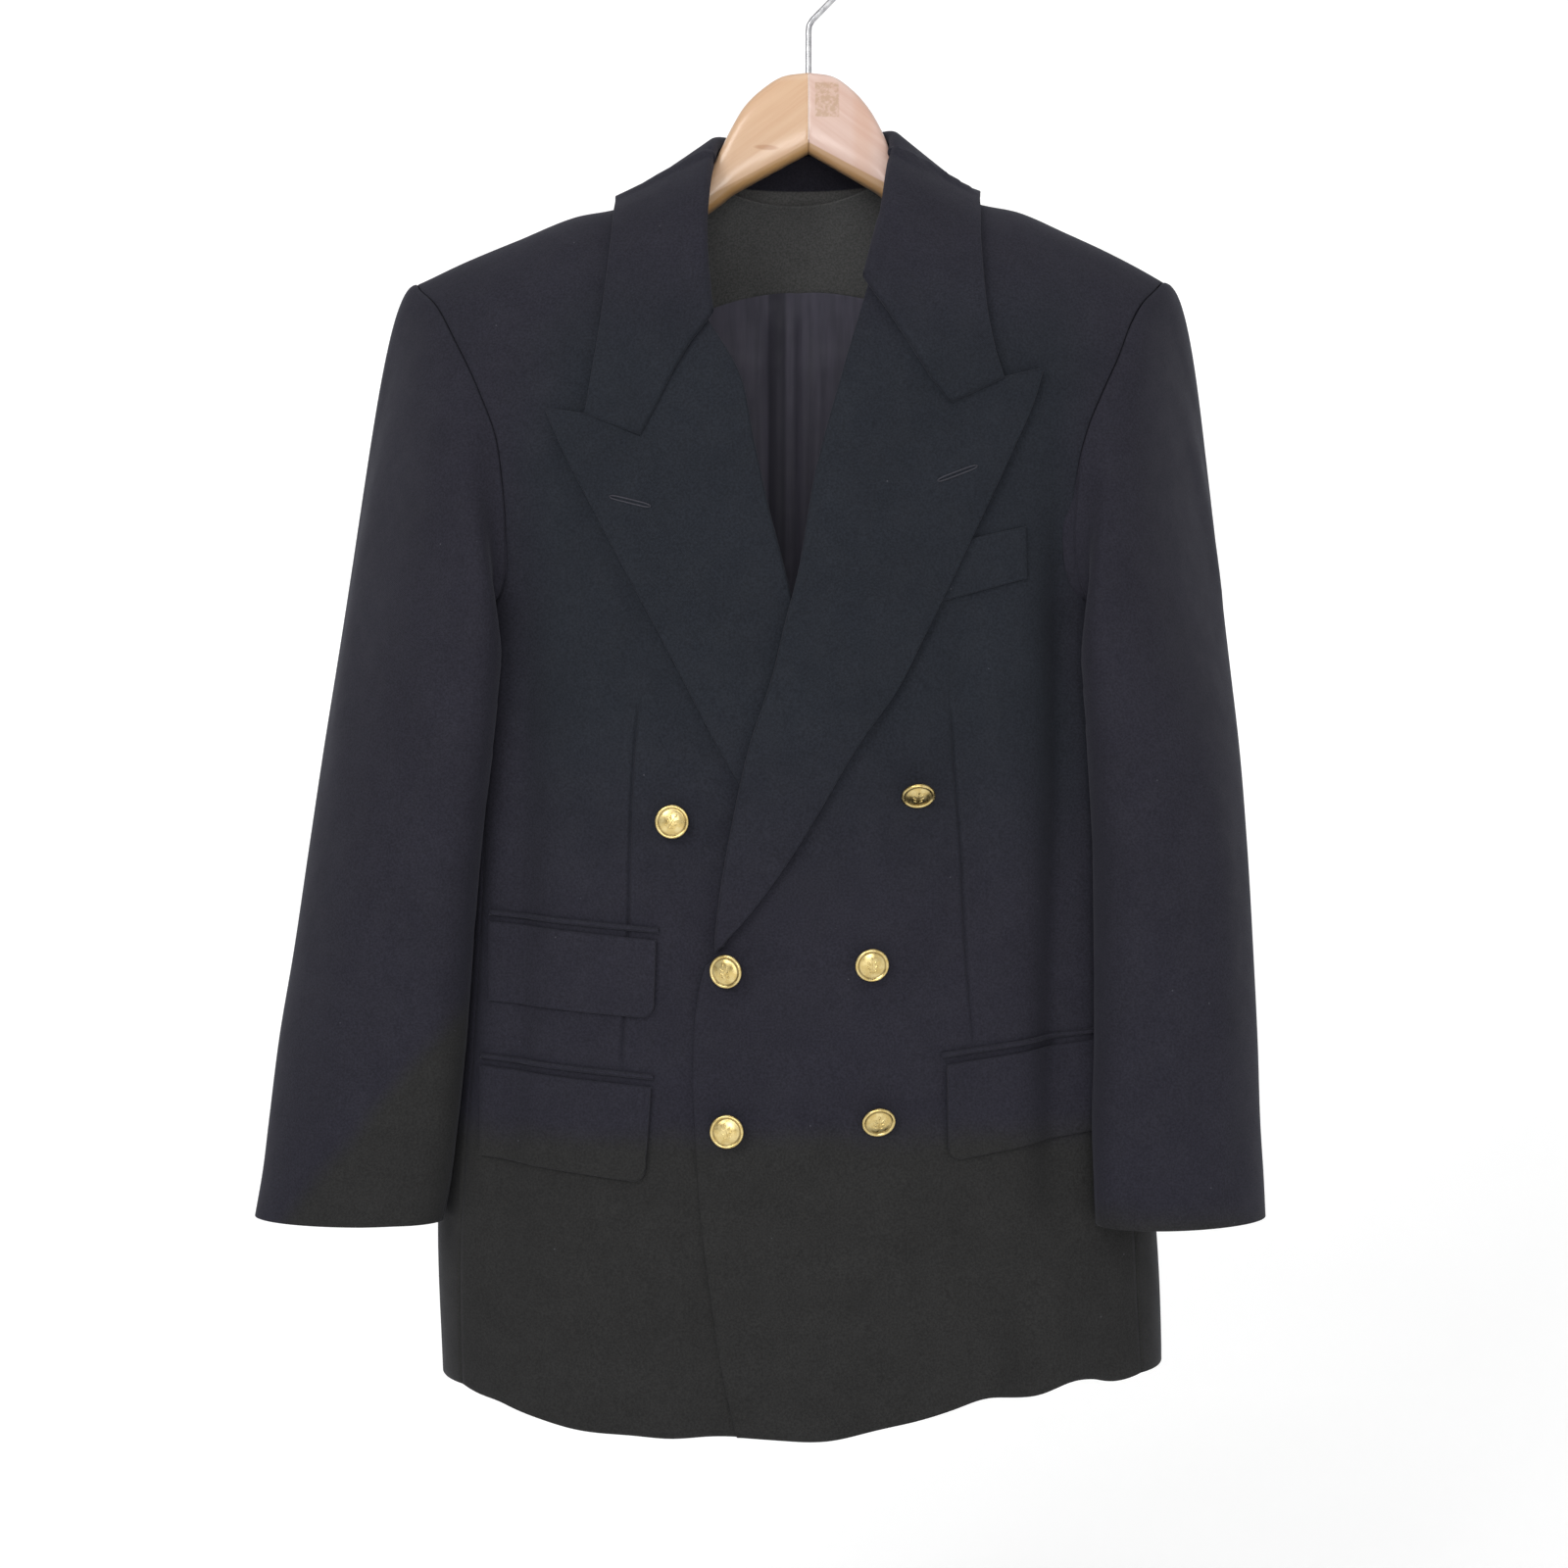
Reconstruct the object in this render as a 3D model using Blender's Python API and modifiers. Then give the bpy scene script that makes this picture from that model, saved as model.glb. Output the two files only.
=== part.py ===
"""Double-breasted jacket with peak lapels, hanging on a contoured wooden hanger.

Metres, +Z up. The origin is where a rail carries the hook: the top of the hook's inside.
The front of the jacket faces -Y, and the wearer's left side is at +X.
"""
import math

import bpy
import numpy as np
from mathutils import Matrix, Vector

# Driving dimensions
CLOTH = 0.0020            # wall of one layer of jacket cloth
LINING_GAP = 0.0029       # between the lining and the cloth it hangs in
LINING = 0.0012           # wall of the lining
FACING = 0.0014           # wall of the facing inside the back of the neck
FACING_LOW_TURN = 0.66    # how far down the body the facing reaches
FACING_REACH = 0.051      # from the centre line to its sides
LINING_REACH = 0.165      # from the centre line to the lining's sides, low down
LINING_SHORT = 0.022      # how far the lining ends over the back's hem
PLEAT_X = -0.019          # the pleat in the lining
PLEAT_DEPTH = 0.0045
PLEAT_WIDTH = 0.007       # from its middle to where it is a third as deep
SEAM_GAP = 0.0003         # between the edges of two sewn pieces
SEAM_HALF = 0.00018       # what each of two sewn edges gives up for that gap
GORGE_HALF = 0.0005       # the same, measured up and down, at the slanting gorge
SHOULDER_TRIM = 0.010     # a back starts this far round from the shoulder ridge
CENTRE_X = -0.006         # centre line of the body, which hangs a little off the hook
ROUNDNESS = 2.7           # 2 is an ellipse, more is a boxier body
ARM_ROUNDNESS = 3.2       # the same for the hanger's sections
NECK_ROLL = 0.165         # height over which a shoulder rounds off, at the neck
TIP_ROLL = 0.115          # the same at the shoulder tip
SHOULDER_REACH = 0.25     # centre line to shoulder tip
SHOULDER_FORWARD = 0.012  # how far the tips come forward
FRONT_SEAM = 0.915        # side seams, as shares of the half width
BACK_SEAM = 0.930
ARMPIT_Z = -0.442
ARMPIT_DIP = 0.014
BACK_HEM_Z = -0.912
FOLD_RADIUS = 0.0026      # outer radius where a lapel or the collar turns over
FOLD_SETBACK = 0.0013     # a front's edge stops this much short of the lapel's fold
FOLD_LIFT = 0.0038        # outer face of a lapel over its front, at the fold
EDGE_LIFT = 0.0052        # the same at its outer edge
GORGE_REACH = 0.3125      # share of the collar's length that bends towards its gorge
GORGE_FADE = 1.6          # power at which that bend dies out
NOTCH_POINTS = 7          # points of a gorge table that the collar shares
STAND_INSET = 0.0026      # the collar stand, inside the seam to the neckline
STAND_RISE = 0.0034       # its lower edge, over that seam
STAND_TOP_DROP = 0.0074   # its upper edge, under the fold
STAND_WALL = 0.0016
STAND_ENDS = (0.085, 0.915)   # its ends, as shares of the collar's length
OVERLAP_LIFT = 0.0025     # the left front where it lies on the right one
LAPEL_COVER_LIFT = 0.0043 # what it rises more where the right lapel lies between
OVERLAP_END = 0.074       # x where that starts
OVERLAP_BLEND = 0.030     # width over which the left front comes down again
SLEEVE_CLEARANCE = 0.0050 # between a sleeve and the body below the armpit
ARMHOLE_STEP = 0.0009     # a sleeve starts this far outside the armhole's edge
ARMHOLE_MIDDLE = (-0.010, -0.335)   # y, z that degrees round an armhole are counted from
SLEEVE_SEAMS = (166.0, 262.0)       # degrees round a sleeve, from its outer side over the front
SLEEVE_EDGE_STEP = 5.0    # degrees from a seam to the next column of a sleeve
SLEEVE_LEAST_STEP = 4.5   # degrees between its other columns, at the least
SLEEVE_TWIST = 14.0       # radians that its inner side turns back for each metre of slant
SLEEVE_TRIM = 0.0008      # what each edge of a sleeve's seam gives up
CAP_PUSH = 0.006          # how far a sleeve leaves the armhole sideways, at the least
CAP_FULLNESS = 0.012      # what it leaves more by, at its top and at its front and back
CAP_SPREAD = 0.010        # how far it leaves forward and back
CAP_HANG = 0.150          # length of the pull that keeps the sleeve's top hanging straight
CAP_STEPS = (0.0, 0.07, 0.18, 0.34, 0.54, 0.77, 1.0)
FLAP_LIFT = 0.0030
JET_LIFT = 0.0023
JET_WALL = 0.0014
WELT_LIFT = 0.0021
WELT_WALL = 0.0016
FLAP_CORNER = 0.009       # radius of a flap's free front corner
FLAP_COLUMNS = (0.0, 0.03, 0.085, 0.2, 0.36, 0.52, 0.68, 0.84, 1.0)
BUTTON_RADIUS = 0.01025
RIM_HEIGHT = 0.0022       # of a button's rim over the back of its disc
FRONT_EDGE_X = -0.075     # buttons with a larger x are on the left front
SHANK_RADIUS = 0.0017
SHANK_LENGTH = 0.0044
HOOK_WIRE = 0.0020        # radius of the hook's wire
HOOK_RADIUS = 0.0230      # centre line of its bend
HANGER_CENTRE_TOP = -0.0857
HOOK_STEM = (
    # x, z
    (0.0, -0.0730),
    (0.0, -0.0585),
    (0.0004, -0.0550),
    (0.0024, -0.0515),
)

# Body sections: how far the body reaches left, right, forward and back at a height
SECTIONS = (
    # z, left, right, front, back
    (-0.960, 0.226, 0.229, 0.114, 0.098),
    (-0.820, 0.228, 0.225, 0.110, 0.092),
    (-0.700, 0.220, 0.217, 0.105, 0.086),
    (-0.600, 0.214, 0.210, 0.103, 0.082),
    (-0.520, 0.213, 0.207, 0.106, 0.084),
    (-0.440, 0.218, 0.209, 0.107, 0.090),
    (-0.360, 0.238, 0.224, 0.102, 0.094),
    (-0.280, 0.258, 0.240, 0.094, 0.094),
    (-0.200, 0.276, 0.256, 0.086, 0.088),
    (-0.120, 0.290, 0.270, 0.078, 0.080),
)
# Ridge of the shoulders, carried on across the neck opening
RIDGE = (
    # x, z
    (-0.256, -0.2275),
    (-0.248, -0.2240),
    (-0.220, -0.2105),
    (-0.184, -0.1950),
    (-0.148, -0.1800),
    (-0.121, -0.1742),
    (-0.080, -0.1530),
    (-0.045, -0.1380),
    (-0.006, -0.1300),
    (0.032, -0.1360),
    (0.066, -0.1490),
    (0.105, -0.1703),
    (0.135, -0.1775),
    (0.1625, -0.1900),
    (0.191, -0.2035),
    (0.223, -0.2210),
    (0.232, -0.2265),
)
# Outlines seen from the front, from the top down
ROLL_RIGHT = (
    # x, z
    (-0.0620, -0.2607),
    (-0.0423, -0.2944),
    (-0.0328, -0.3369),
    (-0.0240, -0.3774),
    (-0.0169, -0.4051),
    (-0.0075, -0.4428),
    (0.0042, -0.4838),
    (0.0200, -0.5424),
    (0.0366, -0.6012),
    (0.0465, -0.6376),
)
ROLL_LEFT = (
    # x, z
    (0.0349, -0.2385),
    (0.0148, -0.3080),
    (0.0030, -0.3526),
    (-0.0093, -0.4222),
    (-0.0158, -0.4473),
    (-0.0239, -0.4806),
    (-0.0368, -0.5202),
    (-0.0473, -0.5682),
    (-0.0544, -0.6103),
    (-0.0579, -0.6419),
)
EDGE_RIGHT = (
    # x, z
    (0.0505, -0.6480),
    (0.0570, -0.6700),
    (0.0600, -0.7200),
    (0.0590, -0.8000),
    (0.0500, -0.8900),
    (0.0440, -0.9300),
)
EDGE_LEFT = (
    # x, z
    (-0.0611, -0.6483),
    (-0.0658, -0.6630),
    (-0.0687, -0.6806),
    (-0.0704, -0.7170),
    (-0.0692, -0.7526),
    (-0.0650, -0.8102),
    (-0.0591, -0.8544),
    (-0.0532, -0.8928),
    (-0.0438, -0.9340),
)
NECKLINE_RIGHT = (
    # x, z
    (-0.0800, -0.1530),
    (-0.0782, -0.1800),
    (-0.0745, -0.2150),
    (-0.0690, -0.2450),
)
NECKLINE_LEFT = (
    # x, z
    (0.0660, -0.1490),
    (0.0625, -0.1750),
    (0.0540, -0.2050),
    (0.0430, -0.2280),
)
LAPEL_EDGE_RIGHT = (
    # x, z
    (-0.1602, -0.3151),
    (-0.1511, -0.3362),
    (-0.1294, -0.3793),
    (-0.0867, -0.4597),
    (-0.0439, -0.5401),
    (-0.0158, -0.5835),
    (0.0136, -0.6159),
    (0.0389, -0.6376),
)
LAPEL_EDGE_LEFT = (
    # x, z
    (0.1413, -0.2906),
    (0.1343, -0.3132),
    (0.1240, -0.3366),
    (0.0940, -0.4010),
    (0.0697, -0.4511),
    (0.0492, -0.4909),
    (0.0281, -0.5202),
    (0.0071, -0.5559),
    (-0.0134, -0.5893),
    (-0.0345, -0.6187),
    (-0.0503, -0.6374),
)
# Gorge seam from the roll line to the notch, then the collar's front edge, then the peak
GORGE_RIGHT = (
    # x, z
    (-0.0620, -0.2607),
    (-0.0735, -0.2760),
    (-0.0835, -0.2930),
    (-0.0925, -0.3120),
    (-0.1024, -0.3331),
    (-0.1185, -0.3262),
    (-0.1358, -0.3190),
    (-0.1602, -0.3151),
)
GORGE_LEFT = (
    # x, z
    (0.0349, -0.2385),
    (0.0480, -0.2570),
    (0.0620, -0.2790),
    (0.0745, -0.2990),
    (0.0846, -0.3127),
    (0.1000, -0.3050),
    (0.1169, -0.2966),
    (0.1413, -0.2906),
)
ARMHOLE_FRONT_RIGHT = (
    # x, z
    (-0.2500, -0.2250),
    (-0.2431, -0.2331),
    (-0.2333, -0.2430),
    (-0.2193, -0.2676),
    (-0.2019, -0.3031),
    (-0.1910, -0.3325),
    (-0.1875, -0.3571),
    (-0.1856, -0.3910),
    (-0.1870, -0.4180),
    (-0.1935, -0.4330),
)
ARMHOLE_FRONT_LEFT = (
    # x, z
    (0.2285, -0.2245),
    (0.2150, -0.2346),
    (0.2080, -0.2420),
    (0.1983, -0.2590),
    (0.1896, -0.2805),
    (0.1790, -0.3030),
    (0.1706, -0.3226),
    (0.1650, -0.3430),
    (0.1622, -0.3700),
    (0.1612, -0.3980),
    (0.1640, -0.4180),
    (0.1715, -0.4320),
)
ARMHOLE_BACK_RIGHT = (
    # x, z
    (-0.2500, -0.2250),
    (-0.2400, -0.2420),
    (-0.2240, -0.2750),
    (-0.2100, -0.3100),
    (-0.2010, -0.3500),
    (-0.1980, -0.3900),
    (-0.2010, -0.4230),
)
ARMHOLE_BACK_LEFT = (
    # x, z
    (0.2285, -0.2245),
    (0.2170, -0.2420),
    (0.2020, -0.2750),
    (0.1900, -0.3100),
    (0.1830, -0.3500),
    (0.1810, -0.3900),
    (0.1835, -0.4230),
)
# Hem seen from the front
HEM = (
    # x, z
    (-0.235, -0.9050),
    (-0.196, -0.9133),
    (-0.1555, -0.9276),
    (-0.0902, -0.9333),
    (-0.0456, -0.9329),
    (-0.0023, -0.9352),
    (0.0487, -0.9266),
    (0.0863, -0.9171),
    (0.1040, -0.9100),
    (0.1363, -0.9107),
    (0.1545, -0.9036),
    (0.1865, -0.9046),
    (0.225, -0.8970),
)
# Collar sections from the right gorge round the back of the neck to the left gorge:
# the fold at the top, the outer edge, and the seam to the neckline
COLLAR = (
    # fold x, y, z, edge x, y, z, seam x, y, z
    (-0.0620, -0.0965, -0.2607, -0.1358, -0.1000, -0.3190, -0.0655, -0.0880, -0.2550),
    (-0.0650, -0.0850, -0.2330, -0.1318, -0.0960, -0.2920, -0.0700, -0.0790, -0.2360),
    (-0.0662, -0.0660, -0.2020, -0.1270, -0.0870, -0.2580, -0.0755, -0.0650, -0.2040),
    (-0.0650, -0.0420, -0.1680, -0.1232, -0.0660, -0.2130, -0.0785, -0.0430, -0.1760),
    (-0.0642, -0.0180, -0.1420, -0.1220, -0.0330, -0.1808, -0.0800, -0.0190, -0.1590),
    (-0.0618, 0.0040, -0.1285, -0.1190, 0.0040, -0.1700, -0.0795, 0.0050, -0.1525),
    (-0.0515, 0.0280, -0.1230, -0.1030, 0.0380, -0.1762, -0.0670, 0.0290, -0.1555),
    (-0.0300, 0.0430, -0.1210, -0.0640, 0.0620, -0.1825, -0.0390, 0.0480, -0.1635),
    (-0.0060, 0.0480, -0.1205, -0.0060, 0.0690, -0.1835, -0.0060, 0.0535, -0.1670),
    (0.0180, 0.0430, -0.1200, 0.0500, 0.0610, -0.1800, 0.0270, 0.0480, -0.1625),
    (0.0435, 0.0280, -0.1205, 0.0880, 0.0370, -0.1728, 0.0540, 0.0290, -0.1535),
    (0.0562, 0.0040, -0.1245, 0.1060, 0.0040, -0.1668, 0.0655, 0.0050, -0.1485),
    (0.0560, -0.0180, -0.1385, 0.1072, -0.0330, -0.1775, 0.0650, -0.0190, -0.1560),
    (0.0515, -0.0420, -0.1620, 0.1058, -0.0640, -0.2062, 0.0620, -0.0430, -0.1730),
    (0.0470, -0.0660, -0.1900, 0.1074, -0.0850, -0.2480, 0.0560, -0.0640, -0.1960),
    (0.0410, -0.0840, -0.2150, 0.1118, -0.0940, -0.2775, 0.0470, -0.0790, -0.2200),
    (0.0349, -0.0960, -0.2385, 0.1169, -0.0980, -0.2966, 0.0385, -0.0880, -0.2340),
)
# Sleeve sections below the armpit: where they reach outward and inward, how far forward
# their middle lies, half their depth, and how much further back the outer side lies
SLEEVE_RIGHT = (
    # z, outer, inner, middle, depth, slant
    (-0.470, -0.3048, -0.1877, -0.038, 0.052, 0.0490),
    (-0.517, -0.3100, -0.1926, -0.042, 0.050, 0.0400),
    (-0.583, -0.3173, -0.2012, -0.045, 0.049, 0.0290),
    (-0.649, -0.3257, -0.2068, -0.048, 0.046, 0.0240),
    (-0.701, -0.3333, -0.2106, -0.051, 0.044, 0.0205),
    (-0.754, -0.3387, -0.2162, -0.054, 0.041, 0.0165),
    (-0.784, -0.3415, -0.2200, -0.056, 0.039, 0.0135),
    (-0.811, -0.3453, -0.2255, -0.057, 0.037, 0.0094),
)
SLEEVE_LEFT = (
    # z, outer, inner, middle, depth, slant
    (-0.470, 0.2722, 0.1647, -0.040, 0.052, 0.0500),
    (-0.517, 0.2735, 0.1681, -0.050, 0.050, 0.0370),
    (-0.583, 0.2748, 0.1720, -0.060, 0.050, 0.0250),
    (-0.649, 0.2761, 0.1725, -0.068, 0.048, 0.0190),
    (-0.701, 0.2772, 0.1722, -0.074, 0.046, 0.0170),
    (-0.754, 0.2778, 0.1706, -0.080, 0.043, 0.0160),
    (-0.784, 0.2792, 0.1713, -0.083, 0.041, 0.0160),
    (-0.8075, 0.2800, 0.1720, -0.085, 0.039, 0.0160),
)
# Corners of the pocket pieces
FLAPS = (
    # name, inner top x, z, outer top x, z, inner bottom x, z, outer bottom x, z
    ("ticket_flap", -0.0923, -0.6365, -0.1960, -0.6264, -0.0935, -0.6838, -0.1960, -0.6750),
    ("hip_flap_right", -0.0951, -0.7245, -0.2010, -0.7145, -0.0985, -0.7820, -0.2010, -0.7690),
    ("hip_flap_left", 0.0813, -0.7110, 0.1880, -0.6960, 0.0822, -0.7690, 0.1880, -0.7500),
)
JETS = (
    # name, inner x, z, outer x, z
    ("ticket_jet", -0.0910, -0.6324, -0.1960, -0.6228),
    ("hip_jet_right", -0.0940, -0.7204, -0.2010, -0.7105),
    ("hip_jet_left", 0.0785, -0.7070, 0.1880, -0.6923),
)
JET_WIDTH = 0.0034
WELT = (
    # x, z of the inner top, outer top, inner bottom and outer bottom corners
    (0.0860, -0.3972),
    (0.1304, -0.3869),
    (0.0720, -0.4348),
    (0.1309, -0.4183),
)
BUTTONS = (
    # x, z, nod, swing: degrees that the face looks down and to the side
    (-0.0826, -0.5647, 4, 0),
    (0.0639, -0.5477, 48, 4),
    (-0.0497, -0.6544, 6, -20),
    (0.0364, -0.6503, 14, 6),
    (-0.0497, -0.7500, 4, -4),
    (0.0404, -0.7436, 30, 8),
)
BUTTON_PROFILE = (
    # radius, height above the cloth side of the disc
    (0.0, 0.0040),
    (0.0050, 0.0036),
    (0.0078, 0.0026),
    (0.0086, 0.0033),
    (BUTTON_RADIUS, RIM_HEIGHT),
    (0.0092, 0.0004),
    (SHANK_RADIUS, 0.0),
    (SHANK_RADIUS, -SHANK_LENGTH),
    (0.0, -SHANK_LENGTH),
)
# Hanger arms from the centre joint outward: top and bottom edge and thickness
ARM_RIGHT = (
    # x, top, bottom, thick
    (-0.00018, -0.0857, -0.1372, 0.0180),
    (-0.0176, -0.0886, -0.1467, 0.0182),
    (-0.0290, -0.0958, -0.1529, 0.0186),
    (-0.0403, -0.1065, -0.1591, 0.0190),
    (-0.0495, -0.1215, -0.1645, 0.0190),
    (-0.0550, -0.1325, -0.1690, 0.0185),
    (-0.0610, -0.1450, -0.1735, 0.0185),
    (-0.0680, -0.1560, -0.1780, 0.0190),
    (-0.0800, -0.1625, -0.1840, 0.0210),
    (-0.1000, -0.1700, -0.1915, 0.0250),
    (-0.1300, -0.1815, -0.2050, 0.0280),
    (-0.1650, -0.1965, -0.2210, 0.0310),
    (-0.2000, -0.2130, -0.2360, 0.0320),
    (-0.2220, -0.2270, -0.2430, 0.0240),
    (-0.2290, -0.2350, -0.2430, 0.0100),
)
ARM_LEFT = (
    # x, top, bottom, thick
    (0.00018, -0.0857, -0.1372, 0.0180),
    (0.0164, -0.0886, -0.1467, 0.0182),
    (0.0275, -0.0964, -0.1531, 0.0186),
    (0.0384, -0.1085, -0.1595, 0.0190),
    (0.0455, -0.1205, -0.1640, 0.0190),
    (0.0495, -0.1290, -0.1680, 0.0185),
    (0.0535, -0.1405, -0.1720, 0.0185),
    (0.0590, -0.1535, -0.1770, 0.0190),
    (0.0700, -0.1605, -0.1820, 0.0210),
    (0.0880, -0.1670, -0.1890, 0.0250),
    (0.1150, -0.1770, -0.2010, 0.0280),
    (0.1450, -0.1905, -0.2150, 0.0310),
    (0.1780, -0.2075, -0.2310, 0.0320),
    (0.2000, -0.2230, -0.2400, 0.0240),
    (0.2070, -0.2320, -0.2400, 0.0100),
)

# Grids
SEAM_ROWS = 10            # from the top of a side seam to the hem
ARMHOLE_ROWS = 12         # from the shoulder tip to the side seam
UNDERARM_POINTS = 10
SLEEVE_ROWS = 9           # from the cap to the cuff
LAPEL_ROWS = 15
COLLAR_STATIONS = 25
STAND_STATIONS = 21
FACING_GRID = (6, 13)     # rows, columns
LINING_GRID = (13, 15)
FLAP_ROWS = 4
FRONT_SHARES = (0.0, 0.15, 0.30, 0.44, 0.57, 0.69, 0.79, 0.87, 0.94, 1.0)
BACK_SHARES = (0.0, 0.13, 0.27, 0.40, 0.55, 0.69, 0.81, 0.91, 1.0)
NECK_SHARE = 0.40         # share of a back's columns that its neckline takes
SIDE_COLUMNS = 7
SIDE_HEM_REACH = 0.200
SIDE_TRIM = 0.0065        # radians that each edge of a side panel gives up
BACK_NECK_TURN = 0.43     # how far the back neckline dips

MATERIALS = {
    # name: colour, roughness, metallic
    "wool": ((0.028, 0.027, 0.040), 0.88, 0.0),
    "wool_charcoal": ((0.032, 0.032, 0.031), 0.90, 0.0),
    "lining": ((0.050, 0.045, 0.060), 0.45, 0.0),
    "wood": ((0.72, 0.50, 0.34), 0.35, 0.0),
    "brass": ((0.66, 0.46, 0.18), 0.28, 1.0),
    "steel": ((0.55, 0.55, 0.56), 0.30, 1.0),
}


def start_scene():
    """Empty the scene, and make the jacket's collection and its materials."""
    for item in list(bpy.data.objects):
        bpy.data.objects.remove(item, do_unlink=True)
    collection = bpy.data.collections.new("double_breasted_jacket")
    bpy.context.scene.collection.children.link(collection)
    return collection


def make_material(owner, kind):
    """A Principled material of its own for one piece."""
    colour, roughness, metallic = MATERIALS[kind]
    material = bpy.data.materials.new(owner + "_" + kind)
    material.use_nodes = True
    shader = material.node_tree.nodes["Principled BSDF"]
    shader.inputs["Base Color"].default_value = (*colour, 1.0)
    shader.inputs["Roughness"].default_value = roughness
    shader.inputs["Metallic"].default_value = metallic
    return material


def spline(knots, values):
    """A smooth curve through the values, as a function of the knot coordinate."""
    knots = np.asarray(knots, float)
    values = np.asarray(values, float)
    slopes = np.gradient(values, knots, axis=0)

    def at(place):
        place = np.clip(np.asarray(place, float), knots[0], knots[-1])
        index = np.clip(np.searchsorted(knots, place, side="right") - 1, 0, len(knots) - 2)
        step = knots[index + 1] - knots[index]
        share = (place - knots[index]) / step
        if values.ndim > 1:
            share = share[..., None]
            step = step[..., None]
        square, cube = share**2, share**3
        return (
            (2 * cube - 3 * square + 1) * values[index]
            + (cube - 2 * square + share) * step * slopes[index]
            + (3 * square - 2 * cube) * values[index + 1]
            + (cube - square) * step * slopes[index + 1]
        )

    return at


def x_by_z(*tables):
    """Outlines joined from the top down, as x for a height z."""
    rows = sorted({point for table in tables for point in table}, key=lambda point: point[1])
    return spline([row[1] for row in rows], [row[0] for row in rows])


def smoothstep(low, high, value):
    share = np.clip((value - low) / (high - low), 0.0, 1.0)
    return share * share * (3 - 2 * share)


ridge_z = spline([row[0] for row in RIDGE], [row[1] for row in RIDGE])
section_at = spline([row[0] for row in SECTIONS], [row[1:] for row in SECTIONS])
hem_z = spline([row[0] for row in HEM], [row[1] for row in HEM])
roll_right_x = x_by_z(ROLL_RIGHT)
roll_left_x = x_by_z(ROLL_LEFT)


def roll_height(x):
    reach = np.clip(np.abs(np.asarray(x) - CENTRE_X) / SHOULDER_REACH, 0, 1)
    return NECK_ROLL + (TIP_ROLL - NECK_ROLL) * reach


def ridge_y(x):
    return -SHOULDER_FORWARD * (np.abs(np.asarray(x) - CENTRE_X) / SHOULDER_REACH) ** 2


def turn_at(x, z):
    """How far round the body a point at x and z lies: 0 on the ridge, 1 where it turns down."""
    height = roll_height(x)
    drop = np.maximum(ridge_z(x) - z, 0)
    over = np.arccos(np.clip(1 - drop / height, -1, 1)) * 2 / np.pi
    return np.where(drop < height, over, 1 + (drop - height) / (height * np.pi / 2))


def body(x, turn):
    """A point of the body's outer face. A turn below zero is on the back."""
    x = np.asarray(x, float)
    turn = np.asarray(turn, float)
    height = roll_height(x)
    amount = np.abs(turn)
    angle = np.minimum(amount, 1) * np.pi / 2
    drop = np.where(amount < 1, height * (1 - np.cos(angle)), height * (1 + (amount - 1) * np.pi / 2))
    z = ridge_z(x) - drop
    section = section_at(z)
    half = np.where(x < CENTRE_X, section[..., 0], section[..., 1])
    spread = np.clip(np.abs(x - CENTRE_X) / half, 0, 0.9995)
    fullness = (1 - spread**ROUNDNESS) ** (1 / ROUNDNESS)
    depth = np.where(turn >= 0, section[..., 2], section[..., 3]) * fullness
    y = ridge_y(x) - np.sign(turn) * depth * np.sin(angle)
    return np.stack(np.broadcast_arrays(x, y, z), axis=-1)


def unit(vectors):
    return vectors / np.maximum(np.linalg.norm(vectors, axis=-1, keepdims=True), 1e-12)


def body_normal(x, turn):
    """The outward direction of the body's face."""
    dx, dt = 0.0008, 0.004
    across = body(np.asarray(x) + dx, turn) - body(np.asarray(x) - dx, turn)
    down = body(x, np.asarray(turn) + dt) - body(x, np.asarray(turn) - dt)
    return unit(np.cross(down, across))


def on_body(x, turn, out=0.0):
    """A point moved out from the body's face."""
    return body(x, turn) + body_normal(x, turn) * np.asarray(out)[..., None]


def left_front_out(x, z):
    """How far the left front stands out, where it lies on the right front and its lapel."""
    past_edge = 1 - smoothstep(OVERLAP_END, OVERLAP_END + OVERLAP_BLEND, x)
    roll = roll_right_x(np.clip(z, ROLL_RIGHT[-1][1], ROLL_RIGHT[0][1]))
    past_roll = 1 - smoothstep(roll + 0.004, roll + 0.004 + OVERLAP_BLEND, x)
    over_lapel = past_roll * smoothstep(-0.690, -0.650, z)
    return OVERLAP_LIFT * past_edge + LAPEL_COVER_LIFT * over_lapel


def right_front_out(x, z):
    return np.zeros(np.broadcast(x, z).shape)


def coons(top, bottom, inner, outer):
    """A patch between four edges, as rows from top to bottom, each from inner to outer."""
    across = chord_shares(top)
    down = chord_shares(inner)
    across = across[None, :, None]
    down = down[:, None, None]
    ruled_down = (1 - down) * top[None] + down * bottom[None]
    ruled_across = (1 - across) * inner[:, None] + across * outer[:, None]
    corners = (
        (1 - down) * ((1 - across) * top[0] + across * top[-1])
        + down * ((1 - across) * bottom[0] + across * bottom[-1])
    )
    return ruled_down + ruled_across - corners


def chord_shares(points):
    steps = np.linalg.norm(np.diff(points, axis=0), axis=1)
    return np.concatenate(([0.0], np.cumsum(steps) / steps.sum()))


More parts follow.
